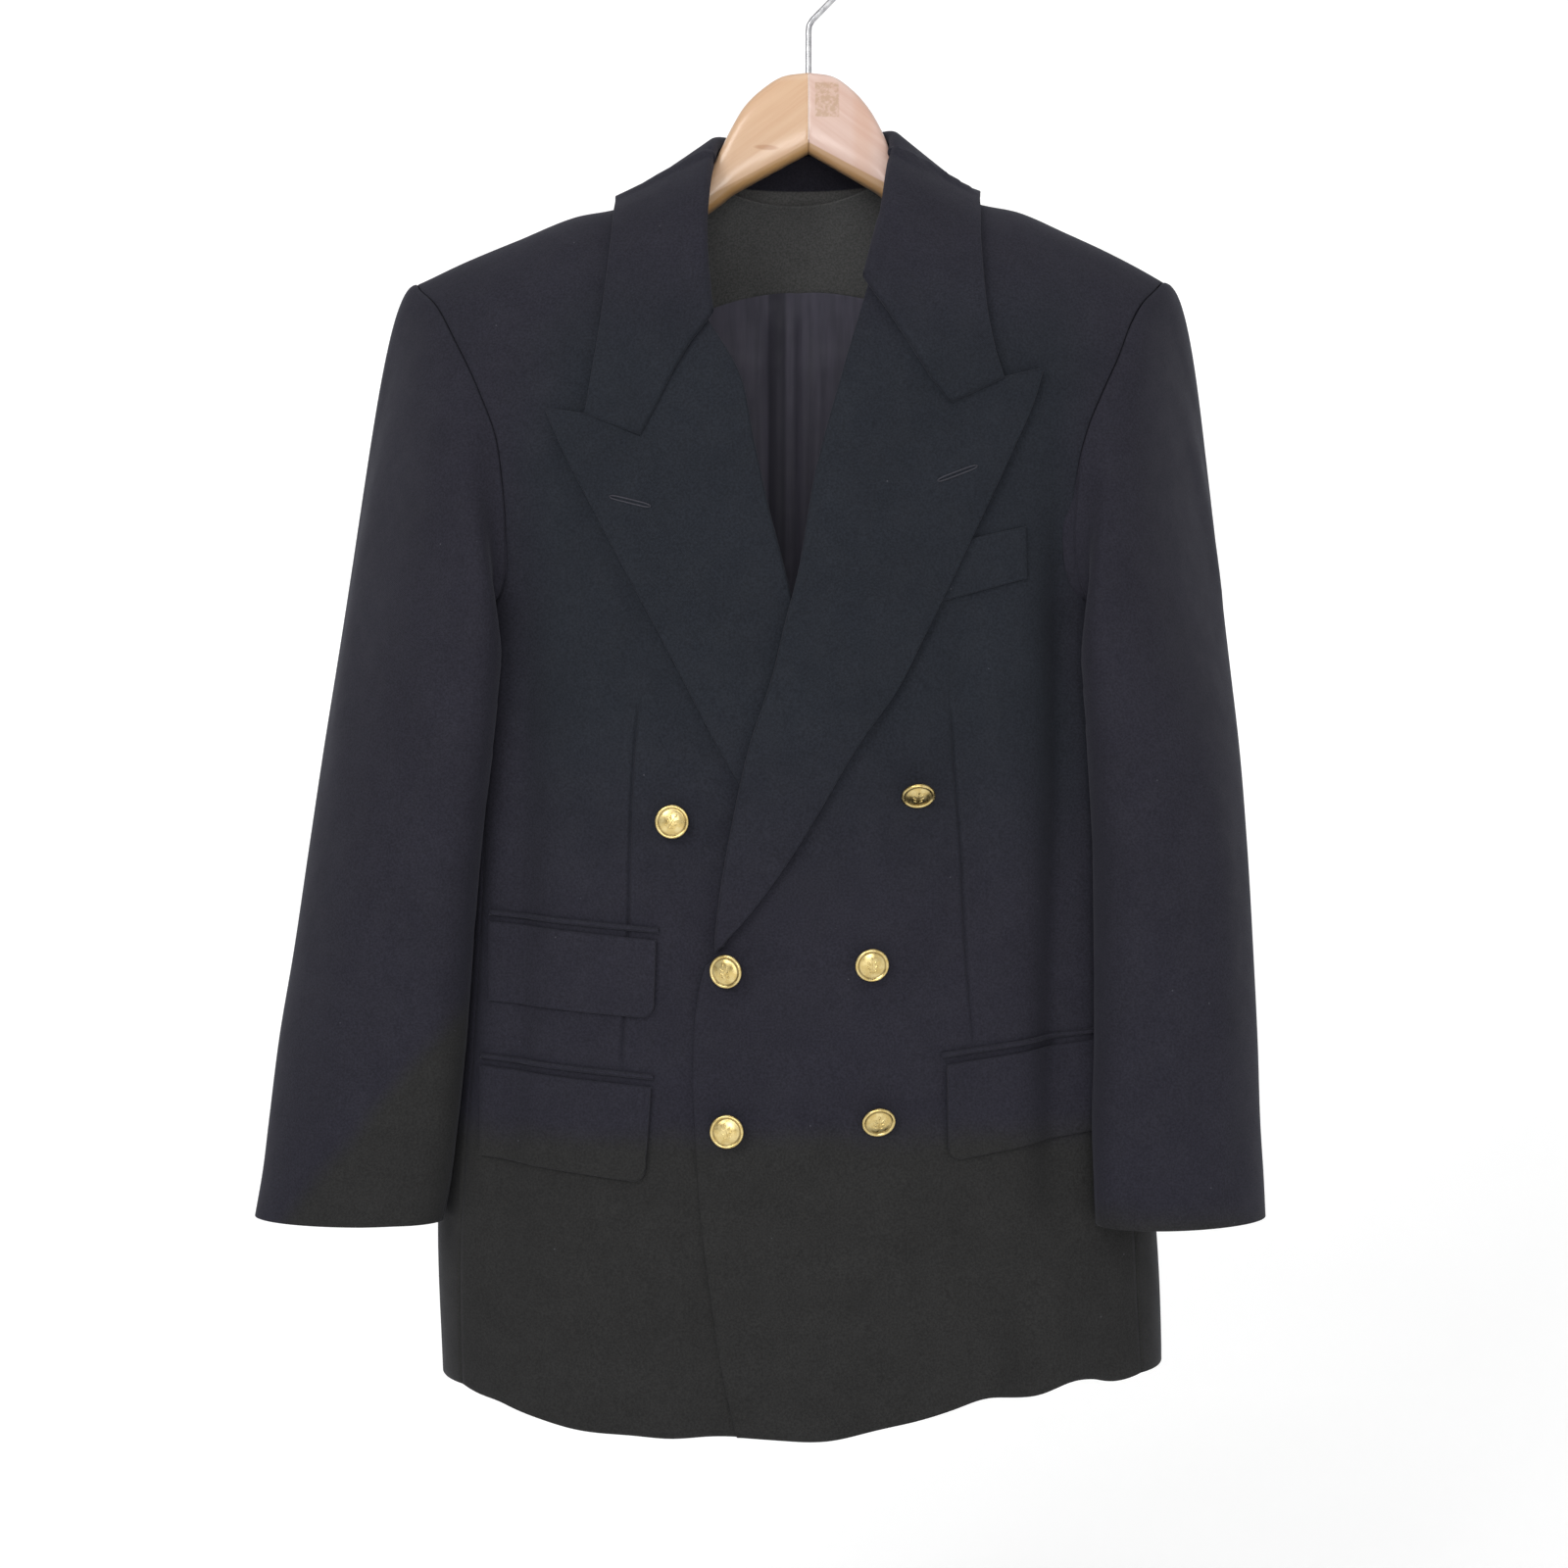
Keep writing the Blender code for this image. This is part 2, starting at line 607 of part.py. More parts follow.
def wall(name, points, kind, collection, thick=CLOTH, inward=True):
    """A thin wall under a grid of outer points, as rows down and columns towards +X."""
    points = np.asarray(points)
    rows, columns = points.shape[:2]
    faces = []
    for row in range(rows - 1):
        for column in range(columns - 1):
            corner = row * columns + column
            faces.append((corner, corner + columns, corner + columns + 1, corner + 1))
    mesh = bpy.data.meshes.new(name)
    mesh.from_pydata(points.reshape(-1, 3).tolist(), [], faces)
    mesh.shade_smooth()
    item = bpy.data.objects.new(name, mesh)
    item.data.materials.append(make_material(name, kind))
    collection.objects.link(item)
    solidify = item.modifiers.new("cloth_wall", "SOLIDIFY")
    solidify.thickness = thick
    solidify.offset = -1.0 if inward else 1.0
    return item


def panel_points(x, z, out_at, back=False, extra=0.0):
    """Grid points of a panel from x and z, on the front or the back of the body."""
    turn = turn_at(x, z)
    out = out_at(x, z) + extra
    return on_body(x, -turn if back else turn, out)


def lerp(first, second, share):
    return first + (second - first) * share


def front_outline(neckline, roll, edge):
    """The inner edge of a front, from the neck point to the hem, as x for a height."""
    return x_by_z(neckline, roll[1:], edge)


def front_edges(side):
    """x and z down the inner and the outer edge of a front.

    The side is -1 for the wearer's right and 1 for the left.
    """
    if side < 0:
        inner_x = front_outline(NECKLINE_RIGHT, ROLL_RIGHT, EDGE_RIGHT)
        armhole, neckline, edge = ARMHOLE_FRONT_RIGHT, NECKLINE_RIGHT, EDGE_RIGHT
    else:
        inner_x = front_outline(NECKLINE_LEFT, ROLL_LEFT, EDGE_LEFT)
        armhole, neckline, edge = ARMHOLE_FRONT_LEFT, NECKLINE_LEFT, EDGE_LEFT
    outer = seam_edge(side, armhole, FRONT_SEAM)
    upper = ARMHOLE_ROWS
    neck_z, tip_z = neckline[0][1], outer[0, 1]
    hem_inner = float(hem_z(edge[-1][0]))
    bottom_outer = outer[-1, 1]
    inner = []
    for row, z in enumerate(outer[:, 1]):
        if row < upper:
            fall = (z - tip_z) / (ARMPIT_Z - tip_z)
            height = neck_z + (ARMPIT_Z - neck_z) * fall
        else:
            fall = (z - ARMPIT_Z) / (bottom_outer - ARMPIT_Z)
            height = ARMPIT_Z + (hem_inner - ARMPIT_Z) * fall
        setback = FOLD_RADIUS + FOLD_SETBACK if height > edge[0][1] else 0.0
        inner.append((float(inner_x(height)) + side * setback, height))
    outer[:, 0] -= side * SEAM_HALF
    return np.array(inner), outer


def ruled(inner, outer, shares):
    """x and z between two edges. Rows follow the turn of the body, and the last the hem."""
    inner_turn = turn_at(inner[:, 0], inner[:, 1])
    outer_turn = turn_at(outer[:, 0], outer[:, 1])
    x = inner[:, :1] + (outer[:, :1] - inner[:, :1]) * shares
    turn = inner_turn[:, None] + (outer_turn - inner_turn)[:, None] * shares
    z = body(x, turn)[..., 2]
    down = smoothstep(-0.70, -0.90, z) * smoothstep(0, 0.12, 1 - shares)
    z = z + down * (hem_z(x[-1]) - z[-1])
    return x, z


def side_hem(side):
    return float(hem_z(CENTRE_X + side * SIDE_HEM_REACH))


def seam_x(side, seam_share, z):
    return CENTRE_X + side * seam_share * section_at(z)[..., 0 if side < 0 else 1]


def armhole_edge(side, armhole, seam_share):
    """An armhole's outline from the ridge to the top of the side seam, in even turns of the body."""
    last = (float(seam_x(side, seam_share, ARMPIT_Z)), ARMPIT_Z)
    points = np.array((*armhole, last))
    turns = turn_at(points[:, 0], points[:, 1])
    turns[0] = 0.0
    even = np.linspace(turns[0], turns[-1], ARMHOLE_ROWS)
    edge = spline(turns, points)(even)
    edge[:, 1] = body(edge[:, 0], even)[:, 2]
    return edge


def seam_edge(side, armhole, seam_share):
    """The outer edge of a front or back: its armhole, then its side seam to the hem."""
    heights = np.linspace(ARMPIT_Z, side_hem(side), SEAM_ROWS + 1)[1:]
    seam = np.stack((seam_x(side, seam_share, heights), heights), axis=1)
    return np.vstack((armhole_edge(side, armhole, seam_share), seam))


def make_fronts(collection):
    for side, name, out_at in ((-1, "front_right", right_front_out), (1, "front_left", left_front_out)):
        inner, outer = front_edges(side)
        x, z = ruled(inner, outer, np.array(FRONT_SHARES))
        if side < 0:
            x, z = x[:, ::-1], z[:, ::-1]
        wall(name, panel_points(x, z, out_at), "wool", collection)


def neck_point_x(side):
    return NECKLINE_RIGHT[0][0] if side < 0 else NECKLINE_LEFT[0][0]


def back_grid(side, shares):
    """x and turn of a back. Its top edge runs along the neckline and then the shoulder seam."""
    armhole = ARMHOLE_BACK_RIGHT if side < 0 else ARMHOLE_BACK_LEFT
    outer = seam_edge(side, armhole, BACK_SEAM)
    outer[:, 0] -= side * SEAM_HALF
    outer_turn = turn_at(outer[:, 0], outer[:, 1])
    centre = CENTRE_X + side * SEAM_HALF
    neck_part = (neck_point_x(side) - centre) / (outer[0, 0] - centre)
    grid_x, grid_turn = [], []
    for x, turn in zip(outer[:, 0], outer_turn):
        neck_x = lerp(centre, x, neck_part)
        near = lerp(centre, neck_x, shares / NECK_SHARE)
        far = lerp(neck_x, x, (shares - NECK_SHARE) / (1 - NECK_SHARE))
        across = np.where(shares < NECK_SHARE, near, far)
        top = back_top_turn(across, side)
        low = turn_at(across, back_hem(across, side))
        fall = (turn - outer_turn[0]) / (outer_turn[-1] - outer_turn[0])
        grid_x.append(across)
        grid_turn.append(lerp(top, low, fall))
    turns = np.array(grid_turn)
    turns[0] = np.maximum(turns[0], SHOULDER_TRIM)
    turns[:, -1] = outer_turn
    turns[0, -1] = SHOULDER_TRIM
    return np.array(grid_x), turns


def make_backs(collection):
    for side, name in ((-1, "back_right"), (1, "back_left")):
        x, turns = back_grid(side, np.array(BACK_SHARES))
        points = on_body(x, -turns)
        if side < 0:
            points = points[:, ::-1]
        wall(name, points[:, ::-1], "wool", collection)


def back_top_turn(x, side):
    """The back's top edge: nothing past the neck point, then the dip of the back neckline."""
    neck_x = neck_point_x(side)
    inside = np.clip((neck_x - x) / (neck_x - CENTRE_X), 0, 1)
    dip = BACK_NECK_TURN * np.sin(inside * np.pi / 2) ** 0.8
    return np.where(inside > 0, dip, 0.0)


def back_hem(x, side):
    inside = np.clip(np.abs(x - CENTRE_X) / SIDE_HEM_REACH, 0, 1)
    return BACK_HEM_Z + (side_hem(side) - BACK_HEM_Z) * inside**2


def side_point(side, angle, z, out=0.0):
    """A point on the side of the body: angle 90 degrees is the front, 0 the side, -90 the back."""
    section = section_at(z)
    half = section[..., 0 if side < 0 else 1]
    cosine, sine = np.cos(angle), np.sin(angle)
    depth = np.where(sine >= 0, section[..., 2], section[..., 3])
    x = CENTRE_X + side * (half + out) * np.abs(cosine) ** (2 / ROUNDNESS)
    y = ridge_y(x) - np.sign(sine) * (depth + out) * np.abs(sine) ** (2 / ROUNDNESS)
    return np.stack(np.broadcast_arrays(x, y, z), axis=-1)


def make_sides(collection):
    front_angle = math.acos(FRONT_SEAM ** (ROUNDNESS / 2))
    back_angle = -math.acos(BACK_SEAM ** (ROUNDNESS / 2))
    for side, name in ((-1, "side_right"), (1, "side_left")):
        angles = np.linspace(front_angle - SIDE_TRIM, back_angle + SIDE_TRIM, SIDE_COLUMNS)
        shares = np.linspace(0, 1, SIDE_COLUMNS)
        top = ARMPIT_Z - ARMPIT_DIP * np.sin(shares * np.pi) - SEAM_GAP
        fall = np.linspace(0, 1, SEAM_ROWS + 1)
        z = top[None] + (side_hem(side) - top[None]) * fall[:, None]
        points = side_point(side, angles[None] + 0 * z, z)
        if side < 0:
            points = points[:, ::-1]
        wall(name, points, "wool", collection)


def armhole_loop(side):
    """The armhole's edge in space, from the shoulder tip down the front and up the back."""
    front = armhole_edge(side, ARMHOLE_FRONT_RIGHT if side < 0 else ARMHOLE_FRONT_LEFT, FRONT_SEAM)
    back = armhole_edge(side, ARMHOLE_BACK_RIGHT if side < 0 else ARMHOLE_BACK_LEFT, BACK_SEAM)
    down = body(front[:, 0], turn_at(front[:, 0], front[:, 1]))
    up = body(back[:, 0], -turn_at(back[:, 0], back[:, 1]))[::-1]
    front_angle = math.acos(FRONT_SEAM ** (ROUNDNESS / 2))
    back_angle = -math.acos(BACK_SEAM ** (ROUNDNESS / 2))
    under = np.linspace(0, 1, UNDERARM_POINTS + 2)[1:-1]
    dip = ARMPIT_Z - ARMPIT_DIP * np.sin(under * np.pi)
    low = side_point(side, lerp(front_angle, back_angle, under), dip)
    return np.vstack((down, low, up[:-1]))


def loop_degrees(loop):
    """How far round an armhole each of its points lies, 0 at the top and 90 at the front."""
    middle_y, middle_z = ARMHOLE_MIDDLE
    return np.degrees(np.arctan2(middle_y - loop[:, 1], loop[:, 2] - middle_z)) % 360


def loop_at(loop, degrees):
    """Points of an armhole loop by how far round it they lie."""
    angles = loop_degrees(loop)
    order = np.argsort(angles)
    angles, loop = angles[order], loop[order]
    angles = np.concatenate((angles[-1:] - 360, angles, angles[:1] + 360))
    loop = np.vstack((loop[-1:], loop, loop[:1]))
    return np.stack([np.interp(degrees, angles, loop[:, axis]) for axis in range(3)], axis=-1)


def clear_body(points, clearance):
    """Move points of a sleeve out of the body's section, widened by a clearance."""
    x, y, z = points[..., 0], points[..., 1], points[..., 2]
    section = section_at(z)
    half = np.where(x < CENTRE_X, section[..., 0], section[..., 1]) + clearance
    lean = y - ridge_y(x)
    depth = np.where(lean < 0, section[..., 2], section[..., 3]) + clearance
    level = (np.abs(x - CENTRE_X) / half) ** ROUNDNESS + (np.abs(lean) / depth) ** ROUNDNESS
    grow = np.maximum(level, 1e-6) ** (-1 / ROUNDNESS)
    grow = np.where(level < 1, grow, 1.0)
    moved = points.copy()
    moved[..., 0] = CENTRE_X + (x - CENTRE_X) * grow
    moved[..., 1] = ridge_y(moved[..., 0]) + lean * grow
    return moved


def sleeve_points(side, degrees, lower_rows):
    """Rings of a sleeve from the armhole to the cuff, at given angles round it."""
    table = np.array(SLEEVE_RIGHT if side < 0 else SLEEVE_LEFT)[::-1]
    section = spline(table[:, 0], table[:, 1:])
    degrees = np.asarray(degrees, float)
    cosine, sine = np.cos(np.radians(degrees)), np.sin(np.radians(degrees))

    def ring(z):
        outer, inner, middle, depth, slant = np.moveaxis(section(z), -1, 0)
        place = np.radians(degrees) + SLEEVE_TWIST * slant * (1 - cosine) / 2
        x = (outer + inner) / 2 + (outer - inner) / 2 * np.cos(place)
        y = middle - depth * np.sin(place) + slant * np.cos(place)
        return np.stack(np.broadcast_arrays(x, y, z), axis=-1)

    top_z, cuff_z = table[-1, 0], table[0, 0]
    bicep = ring(np.full(degrees.shape, top_z))
    start = loop_at(armhole_loop(side), degrees % 360)
    start[:, 0] += side * ARMHOLE_STEP
    upness = (1 + cosine) / 2
    sideways = CAP_PUSH + CAP_FULLNESS * (upness + np.abs(sine))
    forward = CAP_SPREAD * sine * (1 - upness / 2)
    outward = np.stack((side * sideways, -forward, 0.002 * upness), axis=-1)
    down = ring(np.full(degrees.shape, top_z - 0.02)) - bicep
    pull = unit(down) * (0.004 + CAP_HANG * upness + 0.02 * np.abs(sine))[:, None]
    rings = []
    for share in CAP_STEPS:
        keep = 1 - share
        rings.append(keep**3 * start + 3 * keep**2 * share * (start + outward)
                     + 3 * keep * share**2 * (bicep - pull) + share**3 * bicep)
    for z in np.linspace(top_z, cuff_z, lower_rows + 1)[1:]:
        rings.append(ring(np.full(degrees.shape, z)))
    rings = np.array(rings)
    for index in range(1, len(rings)):
        reach = np.linalg.norm(rings[index] - rings[0], axis=-1)
        clearance = np.minimum(SLEEVE_CLEARANCE, ARMHOLE_STEP + 0.22 * reach)
        moved = clear_body(rings[index], clearance)
        low = smoothstep(-0.385, -0.425, rings[index][:, 2])[:, None]
        rings[index] = rings[index] + (moved - rings[index]) * low
    return rings


def seam_degrees(start, stop, between):
    """Columns of a sleeve piece: its two seams, one close beside each, and the given ones."""
    low, high = start + SLEEVE_EDGE_STEP, stop - SLEEVE_EDGE_STEP
    kept = [start, low]
    for angle in between:
        if kept[-1] + SLEEVE_LEAST_STEP < angle < high - SLEEVE_LEAST_STEP:
            kept.append(angle)
    return np.array([*kept, high, stop])


def trim_sides(points, amount):
    """Pull the first and the last column of a grid in by a small amount."""
    trimmed = points.copy()
    trimmed[:, 0] += unit(points[:, 1] - points[:, 0]) * amount
    trimmed[:, -1] += unit(points[:, -2] - points[:, -1]) * amount
    return trimmed


def make_sleeves(collection):
    """Four pieces, with a column at each corner of the armhole that they are sewn into."""
    first, second = SLEEVE_SEAMS
    for side, word in ((-1, "right"), (1, "left")):
        corners = np.sort(loop_degrees(armhole_loop(side)))
        round_top = np.concatenate((corners[corners > second] - 360, corners[corners < first]))
        pieces = (
            ("sleeve_top", seam_degrees(second - 360, first, round_top)),
            ("sleeve_under", seam_degrees(first, second, corners)),
        )
        for piece, degrees in pieces:
            points = trim_sides(sleeve_points(side, degrees, SLEEVE_ROWS), SLEEVE_TRIM)
            if side > 0:
                points = points[:, ::-1]
            wall(piece + "_" + word, points, "wool", collection)


def add_fold(points, normals, radius=FOLD_RADIUS, angles=(150, 110, 70, 35)):
    """Columns that carry the first column of a grid round a fold and under."""
    first = points[:, 0]
    away = unit(points[:, 1] - first)
    away = unit(away - normals * np.sum(away * normals, axis=-1, keepdims=True))
    middle = first - normals * radius
    columns = []
    for angle in angles:
        turn = math.radians(angle)
        columns.append(middle + radius * (normals * math.cos(turn) - away * math.sin(turn)))
    return np.concatenate((np.stack(columns, axis=1), points), axis=1)


def lapel_grid(side, row_count):
    """x and z of a lapel between the gorge, its roll line and its outer edge."""
    gorge = np.array(GORGE_RIGHT if side < 0 else GORGE_LEFT)
    roll_x = roll_right_x if side < 0 else roll_left_x
    edge_table = LAPEL_EDGE_RIGHT if side < 0 else LAPEL_EDGE_LEFT
    edge_x = x_by_z(edge_table)
    shares = np.linspace(0, 1, row_count)
    roll_z = lerp(gorge[0, 1], (ROLL_RIGHT if side < 0 else ROLL_LEFT)[-1][1], shares)
    edge_z = lerp(edge_table[0][1], edge_table[-1][1], shares)
    inner = np.stack((roll_x(roll_z) + side * FOLD_RADIUS, roll_z), axis=1)
    outer = np.stack((edge_x(edge_z), edge_z), axis=1)
    top = gorge.copy()
    top[:, 1] -= GORGE_HALF
    top[0] = inner[0]
    across = chord_shares(top)
    bottom = lerp(inner[-1][None], outer[-1][None], across[:, None])
    grid = coons(top, bottom, inner, outer)
    return grid[..., 0], grid[..., 1], across


def make_lapels(collection):
    for side, name, out_at in ((-1, "lapel_right", right_front_out), (1, "lapel_left", left_front_out)):
        x, z, across = lapel_grid(side, LAPEL_ROWS)
        rise = FOLD_LIFT + (EDGE_LIFT - FOLD_LIFT) * smoothstep(0.3, 1.0, across)[None]
        if side < 0:
            hidden = smoothstep(-0.50, -0.56, z)
            rise = rise + (FOLD_LIFT - rise) * hidden
        points = panel_points(x, z, out_at, extra=rise)
        normals = body_normal(x[:, 0], turn_at(x[:, 0], z[:, 0]))
        points = add_fold(points, normals)
        if side < 0:
            points = points[:, ::-1]
        wall(name, points, "wool", collection)


def clear_shoulders(points, margin):
    """Lift points that lie closer to the body's face than a margin."""
    x, y, z = points[..., 0], points[..., 1], points[..., 2]
    turn = turn_at(x, z) * np.where(y < ridge_y(x), 1, -1)
    face = body(x, turn)
    normal = body_normal(x, turn)
    reach = np.sum((points - face) * normal, axis=-1)
    lift = np.maximum(margin - reach, 0)
    return points + normal * lift[..., None]


def collar_rails(stations):
    table = np.array(COLLAR)
    rail = spline(np.arange(len(table)) / (len(table) - 1), table)(stations)
    return rail[:, 0:3], rail[:, 3:6], rail[:, 6:9]


def gorge_line(side):
    """The collar's front end in space: the gorge seam and the front edge to its corner."""
    gorge = np.array((GORGE_RIGHT if side < 0 else GORGE_LEFT)[:NOTCH_POINTS])
    gorge[:, 1] += GORGE_HALF
    out_at = right_front_out if side < 0 else left_front_out
    return panel_points(gorge[:, 0], gorge[:, 1], out_at, extra=FOLD_LIFT)


def collar_fall_points(stations):
    fold, edge, _ = collar_rails(stations)
    first, last = gorge_line(-1), gorge_line(1)
    fold[0], fold[-1] = first[0], last[0]
    edge[0], edge[-1] = first[-1], last[-1]
    rows = np.linspace(0, 1, len(stations))[:, None, None]
    first_share, last_share = chord_shares(first)[:, None], chord_shares(last)[:, None]
    share = lerp(first_share[None], last_share[None], rows)
    base = fold[:, None] * (1 - share) + edge[:, None] * share
    start = first - lerp(first[:1], first[-1:], first_share)
    end = last - lerp(last[:1], last[-1:], last_share)
    fade_in = np.clip(1 - rows / GORGE_REACH, 0, 1) ** GORGE_FADE
    fade_out = np.clip(1 - (1 - rows) / GORGE_REACH, 0, 1) ** GORGE_FADE
    grid = base + start[None] * fade_in + end[None] * fade_out
    return clear_shoulders(grid, FOLD_LIFT)


def make_collar(collection):
    stations = np.linspace(0, 1, COLLAR_STATIONS)
    points = collar_fall_points(stations)
    along = np.gradient(points[:, 0], axis=0)
    normals = unit(np.cross(along, points[:, 1] - points[:, 0]))
    points = add_fold(points, normals)
    wall("collar_fall", points[::-1], "wool", collection)
    fold, _, seam = collar_rails(np.linspace(*STAND_ENDS, STAND_STATIONS))
    band = stand_band(fold, seam, 4)
    wall("collar_stand", band, "wool", collection, thick=STAND_WALL, inward=False)


def stand_band(fold, seam, columns):
    """The collar stand's face towards the collar, from under the fold to the neckline."""
    inward = np.array((CENTRE_X, 0.0, 0.0)) - fold
    inward[:, 2] = 0
    top = fold - np.array((0, 0, STAND_TOP_DROP))
    foot = seam + np.array((0, 0, STAND_RISE))
    shares = np.linspace(0, 1, columns)[None, :, None]
    return lerp(top[:, None], foot[:, None], shares) + unit(inward)[:, None] * STAND_INSET


def patch_grid(corners, rows, columns):
    """x and z inside four corners: inner top, outer top, inner bottom, outer bottom."""
    inner_top, outer_top, inner_bottom, outer_bottom = (np.array(corner) for corner in corners)
    down = np.linspace(0, 1, rows)[:, None, None]
    across = np.linspace(0, 1, columns)[None, :, None]
    top = lerp(inner_top, outer_top, across)
    bottom = lerp(inner_bottom, outer_bottom, across)
    grid = lerp(top, bottom, down)
    return grid[..., 0], grid[..., 1]


def make_pockets(collection):
    for name, *sizes in FLAPS:
        corners = (sizes[0:2], sizes[2:4], sizes[4:6], sizes[6:8])
        across = np.array(FLAP_COLUMNS)
        x, z = patch_grid(corners, FLAP_ROWS, len(across))
        x = lerp(x[:, :1], x[:, -1:], across[None])
        z = lerp(z[:, :1], z[:, -1:], across[None])
        distance = np.abs(x[-1] - x[-1, 0])
        inside = np.clip(FLAP_CORNER - distance, 0, FLAP_CORNER)
        rise = FLAP_CORNER - np.sqrt(FLAP_CORNER**2 - inside**2)
        z = z + np.linspace(0, 1, FLAP_ROWS)[:, None] ** 2 * rise[None]
        place_patch(name, x, z, FLAP_LIFT, CLOTH, collection)
    for name, inner_x, inner_z, outer_x, outer_z in JETS:
        corners = ((inner_x, inner_z + JET_WIDTH), (outer_x, outer_z + JET_WIDTH),
                   (inner_x, inner_z), (outer_x, outer_z))
        x, z = patch_grid(corners, 2, 9)
        place_patch(name, x, z, JET_LIFT, JET_WALL, collection)
    x, z = patch_grid(WELT, 4, 6)
    place_patch("chest_welt", x, z, WELT_LIFT, WELT_WALL, collection)


def place_patch(name, x, z, lift, thick, collection):
    """A flat piece sewn on a front, made from the front's own points moved out."""
    out_at = right_front_out if x.mean() < 0 else left_front_out
    points = panel_points(x, z, out_at, extra=lift)
    if x.mean() < 0:
        points = points[:, ::-1]
    wall(name, points, "wool", collection, thick=thick)


def make_neck_inside(collection):
    """The cloth facing at the back of the neck, and the lining below it with its pleat."""
    rows, columns = FACING_GRID
    x = CENTRE_X + FACING_REACH * np.linspace(-1, 1, columns)
    neckline = np.where(x < CENTRE_X, back_top_turn(x, -1), back_top_turn(x, 1))
    top = np.maximum(neckline, 0.10) + 0.012
    turn = lerp(top[None], FACING_LOW_TURN, np.linspace(0, 1, rows)[:, None])
    points = on_body(x[None] + 0 * turn, -turn, np.full(turn.shape, -CLOTH - LINING_GAP))
    wall("back_neck_facing", points[:, ::-1], "wool_charcoal", collection, thick=FACING)
    rows, columns = LINING_GRID
    down = np.linspace(0, 1, rows)[:, None]
    low = turn_at(CENTRE_X, BACK_HEM_Z + LINING_SHORT)
    turn = lerp(FACING_LOW_TURN + 0.004, float(low), down) + np.zeros(columns)
    width = lerp(FACING_REACH, LINING_REACH, smoothstep(0, 0.28, down))
    x = CENTRE_X + width * np.linspace(-1, 1, columns)
    pleat = PLEAT_DEPTH * np.exp(-(((x - PLEAT_X) / PLEAT_WIDTH) ** 2)) * (1 - smoothstep(0.5, 0.9, down))
    points = on_body(x, -turn, -CLOTH - LINING_GAP - pleat)
    wall("back_lining", points[:, ::-1], "lining", collection, thick=LINING)


def turned(name, profile, steps, kind, collection):
    """A turned solid from a profile of radius and height, run down its outer side."""
    mesh = bpy.data.meshes.new(name)
    points = [(radius, 0.0, height) for radius, height in profile]
    mesh.from_pydata(points, [(i, i + 1) for i in range(len(points) - 1)], [])
    item = bpy.data.objects.new(name, mesh)
    item.data.materials.append(make_material(name, kind))
    collection.objects.link(item)
    screw = item.modifiers.new("turn", "SCREW")
    screw.steps = steps
    screw.render_steps = steps
    screw.use_merge_vertices = True
    screw.merge_threshold = 0.00005
    screw.use_smooth_shade = True
    return item


def button_place(x, z, nod, swing):
    """Where a button's disc sits: it rests on its rim, or stands on its shank."""
    out_at = left_front_out if x > FRONT_EDGE_X else right_front_out
    lean, aside = math.radians(nod), math.radians(swing)
    on_shank = SHANK_LENGTH * math.cos(lean) * math.cos(aside) + SHANK_RADIUS * math.sin(lean)
    on_rim = BUTTON_RADIUS * math.sin(lean) - RIM_HEIGHT * math.cos(lean)
    lift = max(on_shank, on_rim) + SEAM_GAP
    middle = Vector(on_body(x, turn_at(x, z), out_at(x, z) + lift))
    upright = Matrix.Rotation(math.radians(90) + lean, 4, "X")
    return Matrix.Translation(middle) @ Matrix.Rotation(aside, 4, "Z") @ upright


def make_buttons(collection):
    for index, place in enumerate(BUTTONS):
        item = turned("button_%d" % (index + 1), BUTTON_PROFILE, 14, "brass", collection)
        item.matrix_world = button_place(*place)


def arm_points(table, around=16):
    """Rounded sections of a hanger arm, which comes forward with the shoulder."""
    angles = np.linspace(0, 2 * np.pi, around, endpoint=False)
    cosine, sine = np.cos(angles), np.sin(angles)
    power = 2 / ARM_ROUNDNESS
    rings = []
    for x, top, bottom, thick in table:
        y = ridge_y(x) + thick / 2 * np.sign(cosine) * np.abs(cosine) ** power
        z = (top + bottom) / 2 + (top - bottom) / 2 * np.sign(sine) * np.abs(sine) ** power
        rings.append(np.stack((np.full(around, x), y, z), axis=-1))
    return np.array(rings)


def make_hanger(collection):
    for side, name, table in ((-1, "hanger_arm_right", ARM_RIGHT), (1, "hanger_arm_left", ARM_LEFT)):
        rings = arm_points(table)
        count, around = rings.shape[:2]
        faces = [tuple(range(around))[::-1], tuple((count - 1) * around + i for i in range(around))]
        for ring in range(count - 1):
            for index in range(around):
                after = (index + 1) % around
                base = ring * around
                faces.append((base + index, base + after, base + around + after, base + around + index))
        if side < 0:
            faces = [face[::-1] for face in faces]
        mesh = bpy.data.meshes.new(name)
        mesh.from_pydata(rings.reshape(-1, 3).tolist(), [], faces)
        mesh.shade_smooth()
        item = bpy.data.objects.new(name, mesh)
        item.data.materials.append(make_material(name, "wood"))
        collection.objects.link(item)


def hook_route():
    """The hook's centre line: a straight stem, a slant to the right, and a round bend."""
    centre = Vector((0.0, 0.0, HOOK_WIRE - HOOK_RADIUS))
    stem = ((0.0, HANGER_CENTRE_TOP + SEAM_GAP), *HOOK_STEM)
    points = [Vector((x, 0.0, z)) for x, z in stem]
    for angle in range(-45, 211, 15):
        turn = math.radians(angle)
        points.append(centre + HOOK_RADIUS * Vector((math.cos(turn), 0.0, math.sin(turn))))
    return points


